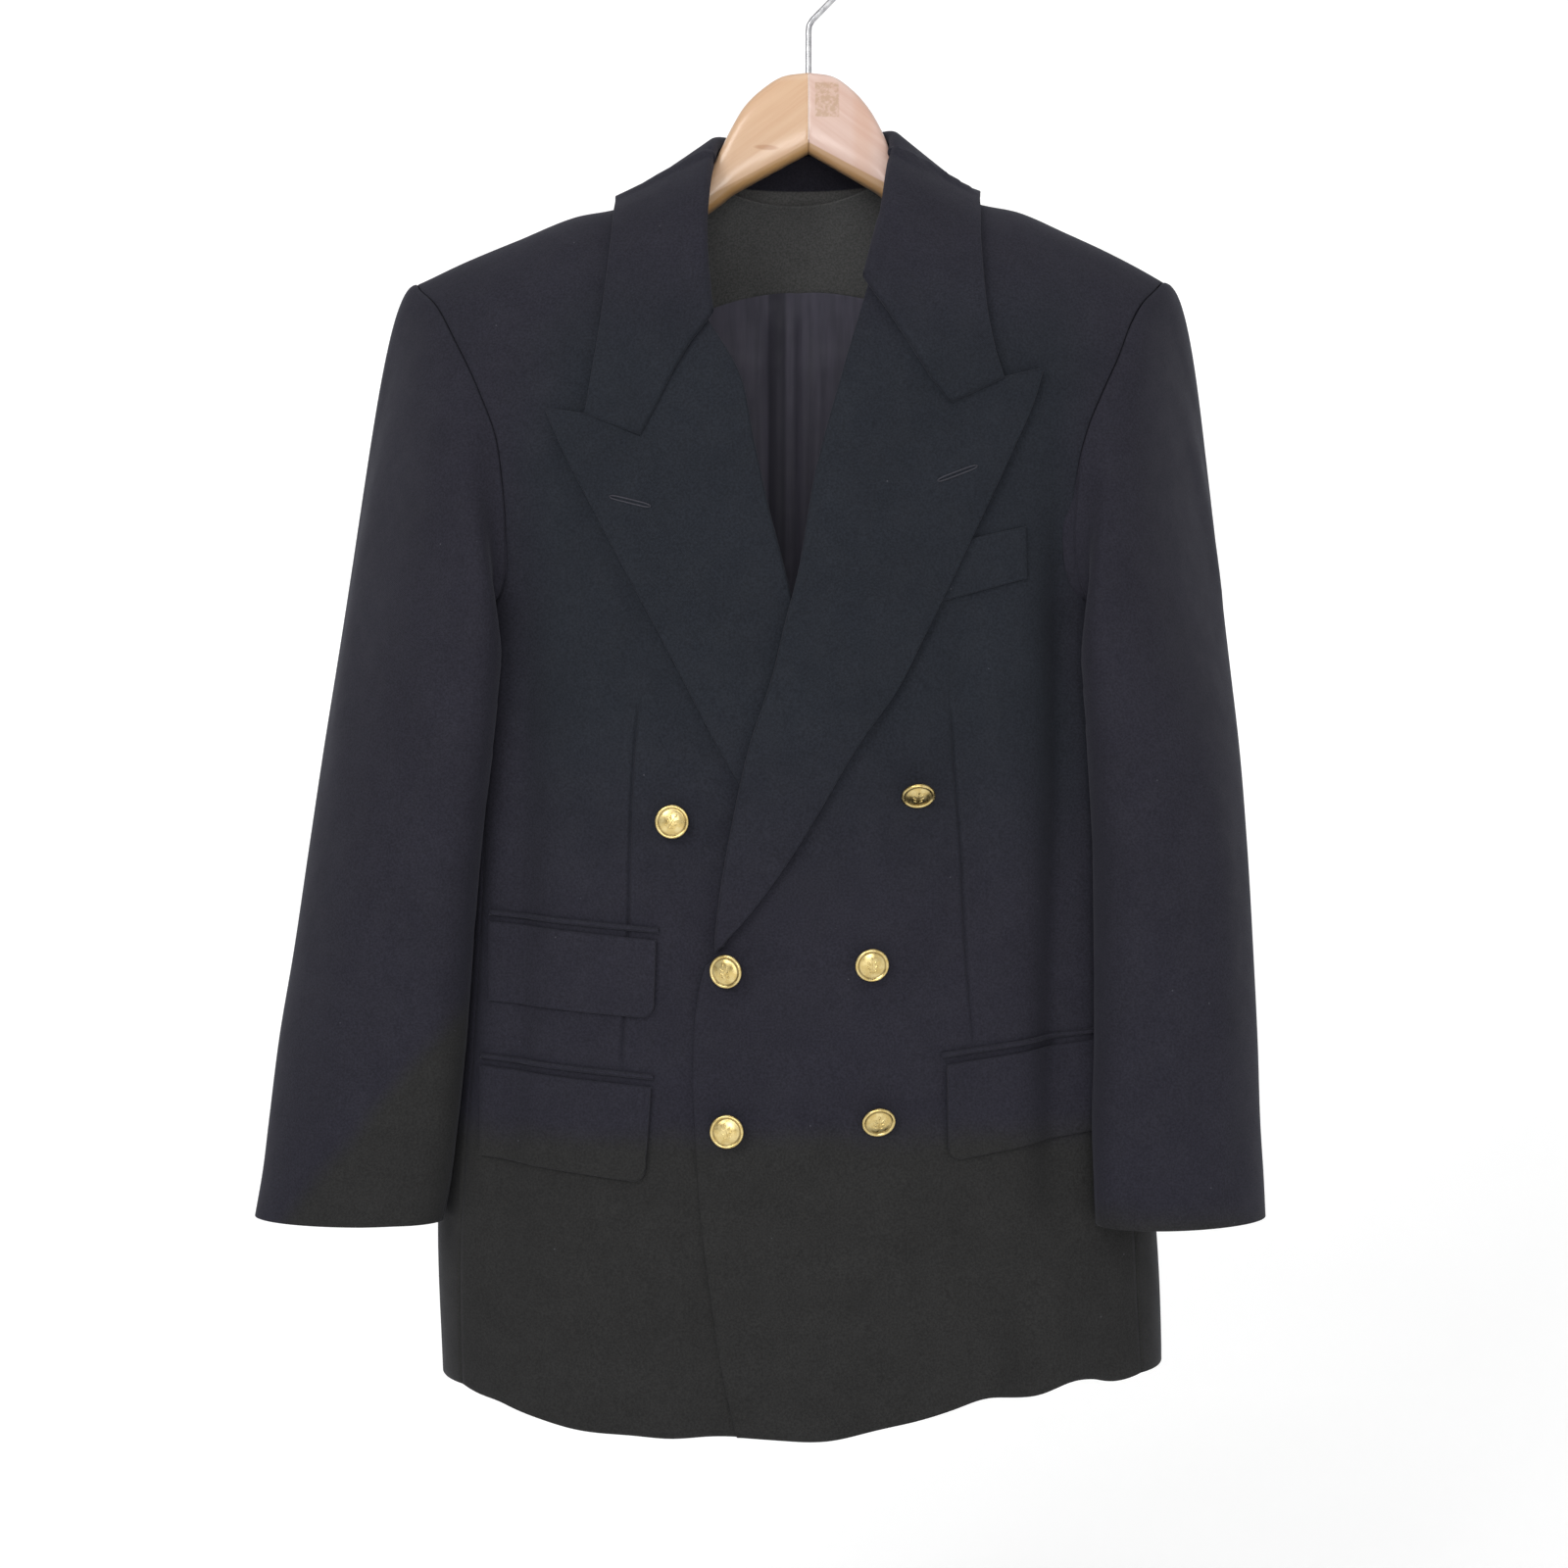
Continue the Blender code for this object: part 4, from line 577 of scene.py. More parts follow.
BUTTON_OUTLINE = (
    *BUTTON_FACE,
    (0.0082, 0.00262),
    (0.0085, 0.00300),
    (0.0090, 0.00330),
    (0.0096, 0.00322),
    (0.0101, 0.00278),
    (BUTTON_RADIUS, RIM_HEIGHT),
    (0.0101, 0.00150),
    (0.0095, 0.00060),
    (0.0084, 0.00020),
    (0.0030, 0.00005),
    (0.0020, -0.00030),
    (SHANK_RADIUS, -0.00100),
    (SHANK_RADIUS, -SHANK_LENGTH + 0.0006),
    (0.0012, -SHANK_LENGTH),
)
MOTIF_LEAVES = (
    # x, y, angle, half length, half width
    (0.0, -0.0004, 90, 0.0047, 0.00040),
    (-0.0018, 0.0017, 130, 0.0018, 0.00075),
    (0.0018, 0.0017, 50, 0.0018, 0.00075),
    (-0.0021, -0.0009, 140, 0.0019, 0.00075),
    (0.0021, -0.0009, 40, 0.0019, 0.00075),
    (0.0, 0.0042, 90, 0.0014, 0.00075),
    (-0.0017, -0.0032, 150, 0.0014, 0.00060),
    (0.0017, -0.0032, 30, 0.0014, 0.00060),
)
BUTTON_SPINS = (-35, 0, 14, 6, 12, 0)

# Colours
WOOL_NAVY = (0.0150, 0.0146, 0.0212)
WOOL_CENTRE = (0.0118, 0.0139, 0.0186)
WOOL_CHARCOAL = (0.0165, 0.0165, 0.0162)
# Charcoal of the neck facing, paler than the cloth's own charcoal: painted light that lifts the shade inside the neck
WOOL_FACING_PAINTED_LIGHT = (0.0750, 0.0750, 0.0740)
LINT = (0.20, 0.20, 0.23)
# The lining's colour runs between these two, as painted light and shade along its wrinkles
LINING_DARK = (0.054, 0.052, 0.070)
# Painted shade for the fold of the lining's pleat
LINING_SHADE = (0.020, 0.020, 0.028)
LINING_LIGHT = (0.094, 0.088, 0.119)
WOOD_RIGHT_LIGHT = (0.555, 0.362, 0.225)
WOOD_RIGHT_DARK = (0.52, 0.32, 0.19)
WOOD_LEFT_LIGHT = (0.58, 0.41, 0.345)
WOOD_LEFT_DARK = (0.53, 0.35, 0.285)
WOOD_BAND = (0.50, 0.28, 0.18)
WOOD_KNOT = (0.36, 0.17, 0.07)
# Golden colour of the arms' lower edge, darkened as painted shade on the underside
WOOD_LOWER_EDGE_SHADE = (0.36, 0.20, 0.07)
WOOD_PATCH = (0.40, 0.26, 0.16)
BRASS_LIGHT = (0.66, 0.54, 0.26)
BRASS_DARK = (0.52, 0.39, 0.15)
BRASS_CAVITY = (0.13, 0.09, 0.035)
STEEL_LIGHT = (0.62, 0.62, 0.63)
STEEL_DARK = (0.44, 0.44, 0.46)
THREAD_DARK = (0.010, 0.010, 0.016)
THREAD_LIGHT = (0.026, 0.026, 0.038)

# Studio
CAMERA_PLACE = (-0.01575, -1.6, -0.54243)
CAMERA_LENS = 57.143
FLOOR_Z = -1.25
FLOOR_GLOW = 0.25
WORLD_LIGHT = 0.50
LIGHT_AIM = (0.0, 0.0, -0.50)
LIGHTS = (
    # name, place, size, power
    ("key", (-1.3, -2.3, 0.8), 1.3, 34.0),
    ("front", (0.1, -2.9, -0.30), 1.0, 22.0),
    ("fill", (1.9, -2.0, 0.1), 1.8, 8.0),
    ("top", (0.2, -0.4, 1.6), 1.4, 8.0),
)



def spline(knots, values):
    """A smooth curve through the values, as a function of the knot coordinate."""
    knots = np.asarray(knots, float)
    values = np.asarray(values, float)
    slopes = np.gradient(values, knots, axis=0)

    def at(place):
        place = np.clip(np.asarray(place, float), knots[0], knots[-1])
        index = np.clip(np.searchsorted(knots, place, side="right") - 1, 0, len(knots) - 2)
        step = knots[index + 1] - knots[index]
        share = (place - knots[index]) / step
        if values.ndim > 1:
            share = share[..., None]
            step = step[..., None]
        square, cube = share**2, share**3
        return (
            (2 * cube - 3 * square + 1) * values[index]
            + (cube - 2 * square + share) * step * slopes[index]
            + (3 * square - 2 * cube) * values[index + 1]
            + (cube - square) * step * slopes[index + 1]
        )

    return at


def x_by_z(*tables):
    """Outlines joined from the top down, as x for a height z."""
    rows = sorted({point for table in tables for point in table}, key=lambda point: point[1])
    return spline([row[1] for row in rows], [row[0] for row in rows])


def smoothstep(low, high, value):
    share = np.clip((value - low) / (high - low), 0.0, 1.0)
    return share * share * (3 - 2 * share)


ridge_z = spline([row[0] for row in RIDGE], [row[1] for row in RIDGE])
section_at = spline([row[0] for row in SECTIONS], [row[1:] for row in SECTIONS])
hem_z = spline([row[0] for row in HEM], [row[1] for row in HEM])
roll_right_x = x_by_z(ROLL_RIGHT)
roll_left_x = x_by_z(ROLL_LEFT)


def roll_height(x):
    reach = np.clip(np.abs(np.asarray(x) - CENTRE_X) / SHOULDER_REACH, 0, 1)
    return NECK_ROLL + (TIP_ROLL - NECK_ROLL) * reach


def ridge_y(x):
    return -SHOULDER_FORWARD * (np.abs(np.asarray(x) - CENTRE_X) / SHOULDER_REACH) ** 2


def turn_at(x, z):
    """How far round the body a point at x and z lies: 0 on the ridge, 1 where it turns down."""
    height = roll_height(x)
    drop = np.maximum(ridge_z(x) - z, 0)
    over = np.arccos(np.clip(1 - drop / height, -1, 1)) * 2 / np.pi
    return np.where(drop < height, over, 1 + (drop - height) / (height * np.pi / 2))


def body(x, turn):
    """A point of the body's outer face. A turn below zero is on the back."""
    x = np.asarray(x, float)
    turn = np.asarray(turn, float)
    height = roll_height(x)
    amount = np.abs(turn)
    angle = np.minimum(amount, 1) * np.pi / 2
    drop = np.where(amount < 1, height * (1 - np.cos(angle)), height * (1 + (amount - 1) * np.pi / 2))
    z = ridge_z(x) - drop
    section = section_at(z)
    half = np.where(x < CENTRE_X, section[..., 0], section[..., 1])
    spread = np.clip(np.abs(x - CENTRE_X) / half, 0, 0.9995)
    fullness = (1 - spread**ROUNDNESS) ** (1 / ROUNDNESS)
    depth = np.where(turn >= 0, section[..., 2], section[..., 3]) * fullness
    y = ridge_y(x) - np.sign(turn) * depth * np.sin(angle)
    return np.stack(np.broadcast_arrays(x, y, z), axis=-1)


def unit(vectors):
    return vectors / np.maximum(np.linalg.norm(vectors, axis=-1, keepdims=True), 1e-12)


def body_normal(x, turn):
    """The outward direction of the body's face."""
    dx, dt = 0.0008, 0.004
    across = body(np.asarray(x) + dx, turn) - body(np.asarray(x) - dx, turn)
    down = body(x, np.asarray(turn) + dt) - body(x, np.asarray(turn) - dt)
    return unit(np.cross(down, across))


def on_body(x, turn, out=0.0):
    """A point moved out from the body's face."""
    return body(x, turn) + body_normal(x, turn) * np.asarray(out)[..., None]


def left_front_out(x, z):
    """How far the left front stands out, where it lies on the right front and its lapel."""
    past_edge = 1 - smoothstep(OVERLAP_END, OVERLAP_END + OVERLAP_BLEND, x)
    roll = roll_right_x(np.clip(z, ROLL_RIGHT[-1][1], ROLL_RIGHT[0][1]))
    past_roll = 1 - smoothstep(roll + 0.004, roll + 0.004 + OVERLAP_BLEND, x)
    over_lapel = past_roll * smoothstep(-0.690, -0.650, z)
    return OVERLAP_LIFT * past_edge + LAPEL_COVER_LIFT * over_lapel


def right_front_out(x, z):
    return np.zeros(np.broadcast(x, z).shape)


def coons(top, bottom, inner, outer):
    """A patch between four edges, as rows from top to bottom, each from inner to outer."""
    across = chord_shares(top)
    down = chord_shares(inner)
    across = across[None, :, None]
    down = down[:, None, None]
    ruled_down = (1 - down) * top[None] + down * bottom[None]
    ruled_across = (1 - across) * inner[:, None] + across * outer[:, None]
    corners = (
        (1 - down) * ((1 - across) * top[0] + across * top[-1])
        + down * ((1 - across) * bottom[0] + across * bottom[-1])
    )
    return ruled_down + ruled_across - corners


def chord_shares(points):
    steps = np.linalg.norm(np.diff(points, axis=0), axis=1)
    return np.concatenate(([0.0], np.cumsum(steps) / steps.sum()))


def panel_points(x, z, out_at, back=False, extra=0.0):
    """Grid points of a panel from x and z, on the front or the back of the body."""
    turn = turn_at(x, z)
    out = out_at(x, z) + extra
    return on_body(x, -turn if back else turn, out)


def lerp(first, second, share):
    return first + (second - first) * share


def front_outline(neckline, roll, edge):
    """The inner edge of a front, from the neck point to the hem, as x for a height."""
    return x_by_z(neckline, roll[1:], edge)


def front_edges(side):
    """x and z down the inner and the outer edge of a front.

    The side is -1 for the wearer's right and 1 for the left.
    """
    if side < 0:
        inner_x = front_outline(NECKLINE_RIGHT, ROLL_RIGHT, EDGE_RIGHT)
        armhole, neckline, edge = ARMHOLE_FRONT_RIGHT, NECKLINE_RIGHT, EDGE_RIGHT
    else:
        inner_x = front_outline(NECKLINE_LEFT, ROLL_LEFT, EDGE_LEFT)
        armhole, neckline, edge = ARMHOLE_FRONT_LEFT, NECKLINE_LEFT, EDGE_LEFT
    outer = seam_edge(side, armhole, FRONT_SEAM)
    upper = ARMHOLE_ROWS
    neck_z, tip_z = neckline[0][1], outer[0, 1]
    hem_inner = float(hem_z(edge[-1][0]))
    bottom_outer = outer[-1, 1]
    inner = []
    for row, z in enumerate(outer[:, 1]):
        if row < upper:
            fall = (z - tip_z) / (ARMPIT_Z - tip_z)
            height = neck_z + (ARMPIT_Z - neck_z) * fall
        else:
            fall = (z - ARMPIT_Z) / (bottom_outer - ARMPIT_Z)
            height = ARMPIT_Z + (hem_inner - ARMPIT_Z) * fall
        setback = FOLD_RADIUS + FOLD_SETBACK if height > edge[0][1] else 0.0
        inner.append((float(inner_x(height)) + side * setback, height))
    outer[:, 0] -= side * SEAM_HALF
    return np.array(inner), outer


def ruled(inner, outer, shares):
    """x and z between two edges. Rows follow the turn of the body, and the last the hem."""
    inner_turn = turn_at(inner[:, 0], inner[:, 1])
    outer_turn = turn_at(outer[:, 0], outer[:, 1])
    x = inner[:, :1] + (outer[:, :1] - inner[:, :1]) * shares
    turn = inner_turn[:, None] + (outer_turn - inner_turn)[:, None] * shares
    z = body(x, turn)[..., 2]
    down = smoothstep(-0.70, -0.90, z) * smoothstep(0, 0.12, 1 - shares)
    z = z + down * (hem_z(x[-1]) - z[-1])
    return x, z


def side_hem(side):
    return float(hem_z(CENTRE_X + side * SIDE_HEM_REACH))


def seam_x(side, seam_share, z):
    return CENTRE_X + side * seam_share * section_at(z)[..., 0 if side < 0 else 1]


def armhole_edge(side, armhole, seam_share):
    """An armhole's outline from the ridge to the top of the side seam, in even turns of the body."""
    last = (float(seam_x(side, seam_share, ARMPIT_Z)), ARMPIT_Z)
    points = np.array((*armhole, last))
    turns = turn_at(points[:, 0], points[:, 1])
    turns[0] = 0.0
    even = np.linspace(turns[0], turns[-1], ARMHOLE_ROWS)
    edge = spline(turns, points)(even)
    edge[:, 1] = body(edge[:, 0], even)[:, 2]
    return edge


def seam_edge(side, armhole, seam_share):
    """The outer edge of a front or back: its armhole, then its side seam to the hem."""
    heights = np.linspace(ARMPIT_Z, side_hem(side), SEAM_ROWS + 1)[1:]
    seam = np.stack((seam_x(side, seam_share, heights), heights), axis=1)
    return np.vstack((armhole_edge(side, armhole, seam_share), seam))


def neck_point_x(side):
    return NECKLINE_RIGHT[0][0] if side < 0 else NECKLINE_LEFT[0][0]


def back_grid(side, shares):
    """x and turn of a back. Its top edge runs along the neckline and then the shoulder seam."""
    armhole = ARMHOLE_BACK_RIGHT if side < 0 else ARMHOLE_BACK_LEFT
    outer = seam_edge(side, armhole, BACK_SEAM)
    outer[:, 0] -= side * SEAM_HALF
    outer_turn = turn_at(outer[:, 0], outer[:, 1])
    centre = CENTRE_X + side * SEAM_HALF
    neck_part = (neck_point_x(side) - centre) / (outer[0, 0] - centre)
    grid_x, grid_turn = [], []
    for x, turn in zip(outer[:, 0], outer_turn):
        neck_x = lerp(centre, x, neck_part)
        near = lerp(centre, neck_x, shares / NECK_SHARE)
        far = lerp(neck_x, x, (shares - NECK_SHARE) / (1 - NECK_SHARE))
        across = np.where(shares < NECK_SHARE, near, far)
        top = back_top_turn(across, side)
        low = turn_at(across, back_hem(across, side))
        fall = (turn - outer_turn[0]) / (outer_turn[-1] - outer_turn[0])
        grid_x.append(across)
        grid_turn.append(lerp(top, low, fall))
    turns = np.array(grid_turn)
    turns[0] = np.maximum(turns[0], SHOULDER_TRIM)
    turns[:, -1] = outer_turn
    turns[0, -1] = SHOULDER_TRIM
    return np.array(grid_x), turns


def back_top_turn(x, side):
    """The back's top edge: nothing past the neck point, then the dip of the back neckline."""
    neck_x = neck_point_x(side)
    inside = np.clip((neck_x - x) / (neck_x - CENTRE_X), 0, 1)
    dip = BACK_NECK_TURN * np.sin(inside * np.pi / 2) ** 0.8
    return np.where(inside > 0, dip, 0.0)


def back_hem(x, side):
    inside = np.clip(np.abs(x - CENTRE_X) / SIDE_HEM_REACH, 0, 1)
    return BACK_HEM_Z + (side_hem(side) - BACK_HEM_Z) * inside**2


def side_point(side, angle, z, out=0.0):
    """A point on the side of the body: angle 90 degrees is the front, 0 the side, -90 the back."""
    section = section_at(z)
    half = section[..., 0 if side < 0 else 1]
    cosine, sine = np.cos(angle), np.sin(angle)
    depth = np.where(sine >= 0, section[..., 2], section[..., 3])
    x = CENTRE_X + side * (half + out) * np.abs(cosine) ** (2 / ROUNDNESS)
    y = ridge_y(x) - np.sign(sine) * (depth + out) * np.abs(sine) ** (2 / ROUNDNESS)
    return np.stack(np.broadcast_arrays(x, y, z), axis=-1)


def armhole_loop(side):
    """The armhole's edge in space, from the shoulder tip down the front and up the back."""
    front = armhole_edge(side, ARMHOLE_FRONT_RIGHT if side < 0 else ARMHOLE_FRONT_LEFT, FRONT_SEAM)
    back = armhole_edge(side, ARMHOLE_BACK_RIGHT if side < 0 else ARMHOLE_BACK_LEFT, BACK_SEAM)
    down = body(front[:, 0], turn_at(front[:, 0], front[:, 1]))
    up = body(back[:, 0], -turn_at(back[:, 0], back[:, 1]))[::-1]
    front_angle = math.acos(FRONT_SEAM ** (ROUNDNESS / 2))
    back_angle = -math.acos(BACK_SEAM ** (ROUNDNESS / 2))
    under = np.linspace(0, 1, UNDERARM_POINTS + 2)[1:-1]
    dip = ARMPIT_Z - ARMPIT_DIP * np.sin(under * np.pi)
    low = side_point(side, lerp(front_angle, back_angle, under), dip)
    return np.vstack((down, low, up[:-1]))


def loop_degrees(loop):
    """How far round an armhole each of its points lies, 0 at the top and 90 at the front."""
    middle_y, middle_z = ARMHOLE_MIDDLE
    return np.degrees(np.arctan2(middle_y - loop[:, 1], loop[:, 2] - middle_z)) % 360


def loop_at(loop, degrees):
    """Points of an armhole loop by how far round it they lie."""
    angles = loop_degrees(loop)
    order = np.argsort(angles)
    angles, loop = angles[order], loop[order]
    angles = np.concatenate((angles[-1:] - 360, angles, angles[:1] + 360))
    loop = np.vstack((loop[-1:], loop, loop[:1]))
    return np.stack([np.interp(degrees, angles, loop[:, axis]) for axis in range(3)], axis=-1)


def clear_body(points, clearance):
    """Move points of a sleeve out of the body's section, widened by a clearance."""
    x, y, z = points[..., 0], points[..., 1], points[..., 2]
    section = section_at(z)
    half = np.where(x < CENTRE_X, section[..., 0], section[..., 1]) + clearance
    lean = y - ridge_y(x)
    depth = np.where(lean < 0, section[..., 2], section[..., 3]) + clearance
    level = (np.abs(x - CENTRE_X) / half) ** ROUNDNESS + (np.abs(lean) / depth) ** ROUNDNESS
    grow = np.maximum(level, 1e-6) ** (-1 / ROUNDNESS)
    grow = np.where(level < 1, grow, 1.0)
    moved = points.copy()
    moved[..., 0] = CENTRE_X + (x - CENTRE_X) * grow
    moved[..., 1] = ridge_y(moved[..., 0]) + lean * grow
    return moved


def sleeve_points(side, degrees, lower_rows):
    """Rings of a sleeve from the armhole to the cuff, at given angles round it."""
    table = np.array(SLEEVE_RIGHT if side < 0 else SLEEVE_LEFT)[::-1]
    section = spline(table[:, 0], table[:, 1:])
    degrees = np.asarray(degrees, float)
    cosine, sine = np.cos(np.radians(degrees)), np.sin(np.radians(degrees))

    def ring(z):
        outer, inner, middle, depth, slant = np.moveaxis(section(z), -1, 0)
        place = np.radians(degrees) + SLEEVE_TWIST * slant * (1 - cosine) / 2
        x = (outer + inner) / 2 + (outer - inner) / 2 * np.cos(place)
        y = middle - depth * np.sin(place) + slant * np.cos(place)
        return np.stack(np.broadcast_arrays(x, y, z), axis=-1)

    top_z, cuff_z = table[-1, 0], table[0, 0]
    bicep = ring(np.full(degrees.shape, top_z))
    start = loop_at(armhole_loop(side), degrees % 360)
    start[:, 0] += side * ARMHOLE_STEP
    upness = (1 + cosine) / 2
    sideways = CAP_PUSH + CAP_FULLNESS * (upness + np.abs(sine))
    forward = CAP_SPREAD * sine * (1 - upness / 2)
    outward = np.stack((side * sideways, -forward, 0.002 * upness), axis=-1)
    down = ring(np.full(degrees.shape, top_z - 0.02)) - bicep
    pull = unit(down) * (0.004 + CAP_HANG * upness + 0.02 * np.abs(sine))[:, None]
    rings = []
    for share in CAP_STEPS:
        keep = 1 - share
        rings.append(keep**3 * start + 3 * keep**2 * share * (start + outward)
                     + 3 * keep * share**2 * (bicep - pull) + share**3 * bicep)
    for z in np.linspace(top_z, cuff_z, lower_rows + 1)[1:]:
        rings.append(ring(np.full(degrees.shape, z)))
    rings = np.array(rings)
    for index in range(1, len(rings)):
        reach = np.linalg.norm(rings[index] - rings[0], axis=-1)
        clearance = np.minimum(SLEEVE_CLEARANCE, ARMHOLE_STEP + 0.22 * reach)
        moved = clear_body(rings[index], clearance)
        low = smoothstep(-0.385, -0.425, rings[index][:, 2])[:, None]
        rings[index] = rings[index] + (moved - rings[index]) * low
    return rings


def seam_degrees(start, stop, between):
    """Columns of a sleeve piece: its two seams, one close beside each, and the given ones."""
    low, high = start + SLEEVE_EDGE_STEP, stop - SLEEVE_EDGE_STEP
    kept = [start, low]
    for angle in between:
        if kept[-1] + SLEEVE_LEAST_STEP < angle < high - SLEEVE_LEAST_STEP:
            kept.append(angle)
    return np.array([*kept, high, stop])


def trim_sides(points, amount):
    """Pull the first and the last column of a grid in by a small amount."""
    trimmed = points.copy()
    trimmed[:, 0] += unit(points[:, 1] - points[:, 0]) * amount
    trimmed[:, -1] += unit(points[:, -2] - points[:, -1]) * amount
    return trimmed


def add_fold(points, normals, radius=FOLD_RADIUS, angles=(150, 110, 70, 35)):
    """Columns that carry the first column of a grid round a fold and under."""
    first = points[:, 0]
    away = unit(points[:, 1] - first)
    away = unit(away - normals * np.sum(away * normals, axis=-1, keepdims=True))
    middle = first - normals * radius
    columns = []
    for angle in angles:
        turn = math.radians(angle)
        columns.append(middle + radius * (normals * math.cos(turn) - away * math.sin(turn)))
    return np.concatenate((np.stack(columns, axis=1), points), axis=1)


def lapel_grid(side, row_count):
    """x and z of a lapel between the gorge, its roll line and its outer edge."""
    gorge = np.array(GORGE_RIGHT if side < 0 else GORGE_LEFT)
    roll_x = roll_right_x if side < 0 else roll_left_x
    edge_table = LAPEL_EDGE_RIGHT if side < 0 else LAPEL_EDGE_LEFT
    edge_x = x_by_z(edge_table)
    shares = np.linspace(0, 1, row_count)
    roll_z = lerp(gorge[0, 1], (ROLL_RIGHT if side < 0 else ROLL_LEFT)[-1][1], shares)
    edge_z = lerp(edge_table[0][1], edge_table[-1][1], shares)
    inner = np.stack((roll_x(roll_z) + side * FOLD_RADIUS, roll_z), axis=1)
    outer = np.stack((edge_x(edge_z), edge_z), axis=1)
    top = gorge.copy()
    top[:, 1] -= GORGE_HALF
    top[0] = inner[0]
    across = chord_shares(top)
    bottom = lerp(inner[-1][None], outer[-1][None], across[:, None])
    grid = coons(top, bottom, inner, outer)
    return grid[..., 0], grid[..., 1], across


def clear_shoulders(points, margin):
    """Lift points that lie closer to the body's face than a margin."""
    x, y, z = points[..., 0], points[..., 1], points[..., 2]
    turn = turn_at(x, z) * np.where(y < ridge_y(x), 1, -1)
    face = body(x, turn)
    normal = body_normal(x, turn)
    reach = np.sum((points - face) * normal, axis=-1)
    lift = np.maximum(margin - reach, 0)
    return points + normal * lift[..., None]


def collar_rails(stations):
    table = np.array(COLLAR)
    rail = spline(np.arange(len(table)) / (len(table) - 1), table)(stations)
    return rail[:, 0:3], rail[:, 3:6], rail[:, 6:9]


def gorge_line(side):
    """The collar's front end in space: the gorge seam and the front edge to its corner."""
    gorge = np.array((GORGE_RIGHT if side < 0 else GORGE_LEFT)[:NOTCH_POINTS])
    gorge[:, 1] += GORGE_HALF
    out_at = right_front_out if side < 0 else left_front_out
    return panel_points(gorge[:, 0], gorge[:, 1], out_at, extra=FOLD_LIFT)


def collar_fall_points(stations):
    fold, edge, _ = collar_rails(stations)
    first, last = gorge_line(-1), gorge_line(1)
    fold[0], fold[-1] = first[0], last[0]
    edge[0], edge[-1] = first[-1], last[-1]
    rows = np.linspace(0, 1, len(stations))[:, None, None]
    first_share, last_share = chord_shares(first)[:, None], chord_shares(last)[:, None]
    share = lerp(first_share[None], last_share[None], rows)
    base = fold[:, None] * (1 - share) + edge[:, None] * share
    start = first - lerp(first[:1], first[-1:], first_share)
    end = last - lerp(last[:1], last[-1:], last_share)
    fade_in = np.clip(1 - rows / GORGE_REACH, 0, 1) ** GORGE_FADE
    fade_out = np.clip(1 - (1 - rows) / GORGE_REACH, 0, 1) ** GORGE_FADE
    grid = base + start[None] * fade_in + end[None] * fade_out
    return clear_shoulders(grid, FOLD_LIFT)


def stand_band(fold, seam, columns):
    """The collar stand's face towards the collar, from under the fold to the neckline."""
    inward = np.array((CENTRE_X, 0.0, 0.0)) - fold
    inward[:, 2] = 0
    top = fold - np.array((0, 0, STAND_TOP_DROP))
    foot = seam + np.array((0, 0, STAND_RISE))
    shares = np.linspace(0, 1, columns)[None, :, None]
    return lerp(top[:, None], foot[:, None], shares) + unit(inward)[:, None] * STAND_INSET


def patch_grid(corners, rows, columns):
    """x and z inside four corners: inner top, outer top, inner bottom, outer bottom."""
    inner_top, outer_top, inner_bottom, outer_bottom = (np.array(corner) for corner in corners)
    down = np.linspace(0, 1, rows)[:, None, None]
    across = np.linspace(0, 1, columns)[None, :, None]
    top = lerp(inner_top, outer_top, across)
    bottom = lerp(inner_bottom, outer_bottom, across)
    grid = lerp(top, bottom, down)
    return grid[..., 0], grid[..., 1]


def button_place(x, z, nod, swing):
    """Where a button's disc sits: it rests on its rim, or stands on its shank."""
    out_at = left_front_out if x > FRONT_EDGE_X else right_front_out
    lean, aside = math.radians(nod), math.radians(swing)
    on_shank = SHANK_LENGTH * math.cos(lean) * math.cos(aside) + SHANK_RADIUS * math.sin(lean)
    on_rim = BUTTON_RADIUS * math.sin(lean) - RIM_HEIGHT * math.cos(lean)
    lift = max(on_shank, on_rim) + SEAM_GAP
    middle = Vector(on_body(x, turn_at(x, z), out_at(x, z) + lift))
    upright = Matrix.Rotation(math.radians(90) + lean, 4, "X")
    return Matrix.Translation(middle) @ Matrix.Rotation(aside, 4, "Z") @ upright


def arm_points(table, around=16):
    """Rounded sections of a hanger arm, which comes forward with the shoulder."""
    angles = np.linspace(0, 2 * np.pi, around, endpoint=False)
    cosine, sine = np.cos(angles), np.sin(angles)
    power = 2 / ARM_ROUNDNESS
    rings = []
    for x, top, bottom, thick in table:
        y = ridge_y(x) + thick / 2 * np.sign(cosine) * np.abs(cosine) ** power
        z = (top + bottom) / 2 + (top - bottom) / 2 * np.sign(sine) * np.abs(sine) ** power
        rings.append(np.stack((np.full(around, x), y, z), axis=-1))
    return np.array(rings)


# Cloth meshes

def grid_normals(points):
    """Outward directions of a grid of points, as rows down and columns across."""
    down = np.gradient(points, axis=0)
    across = np.gradient(points, axis=1)
    return unit(np.cross(down, across))


def border(rows, columns):
    """Indices round a grid, clockwise from its first corner."""
    grid = np.arange(rows * columns).reshape(rows, columns)
    return np.concatenate((grid[0, :-1], grid[:-1, -1], grid[-1, :0:-1], grid[:0:-1, 0]))


def grid_faces(rows, columns):
    corner = np.arange(rows * columns).reshape(rows, columns)[:-1, :-1].ravel()
    return np.stack((corner, corner + columns, corner + columns + 1, corner + 1), axis=1)


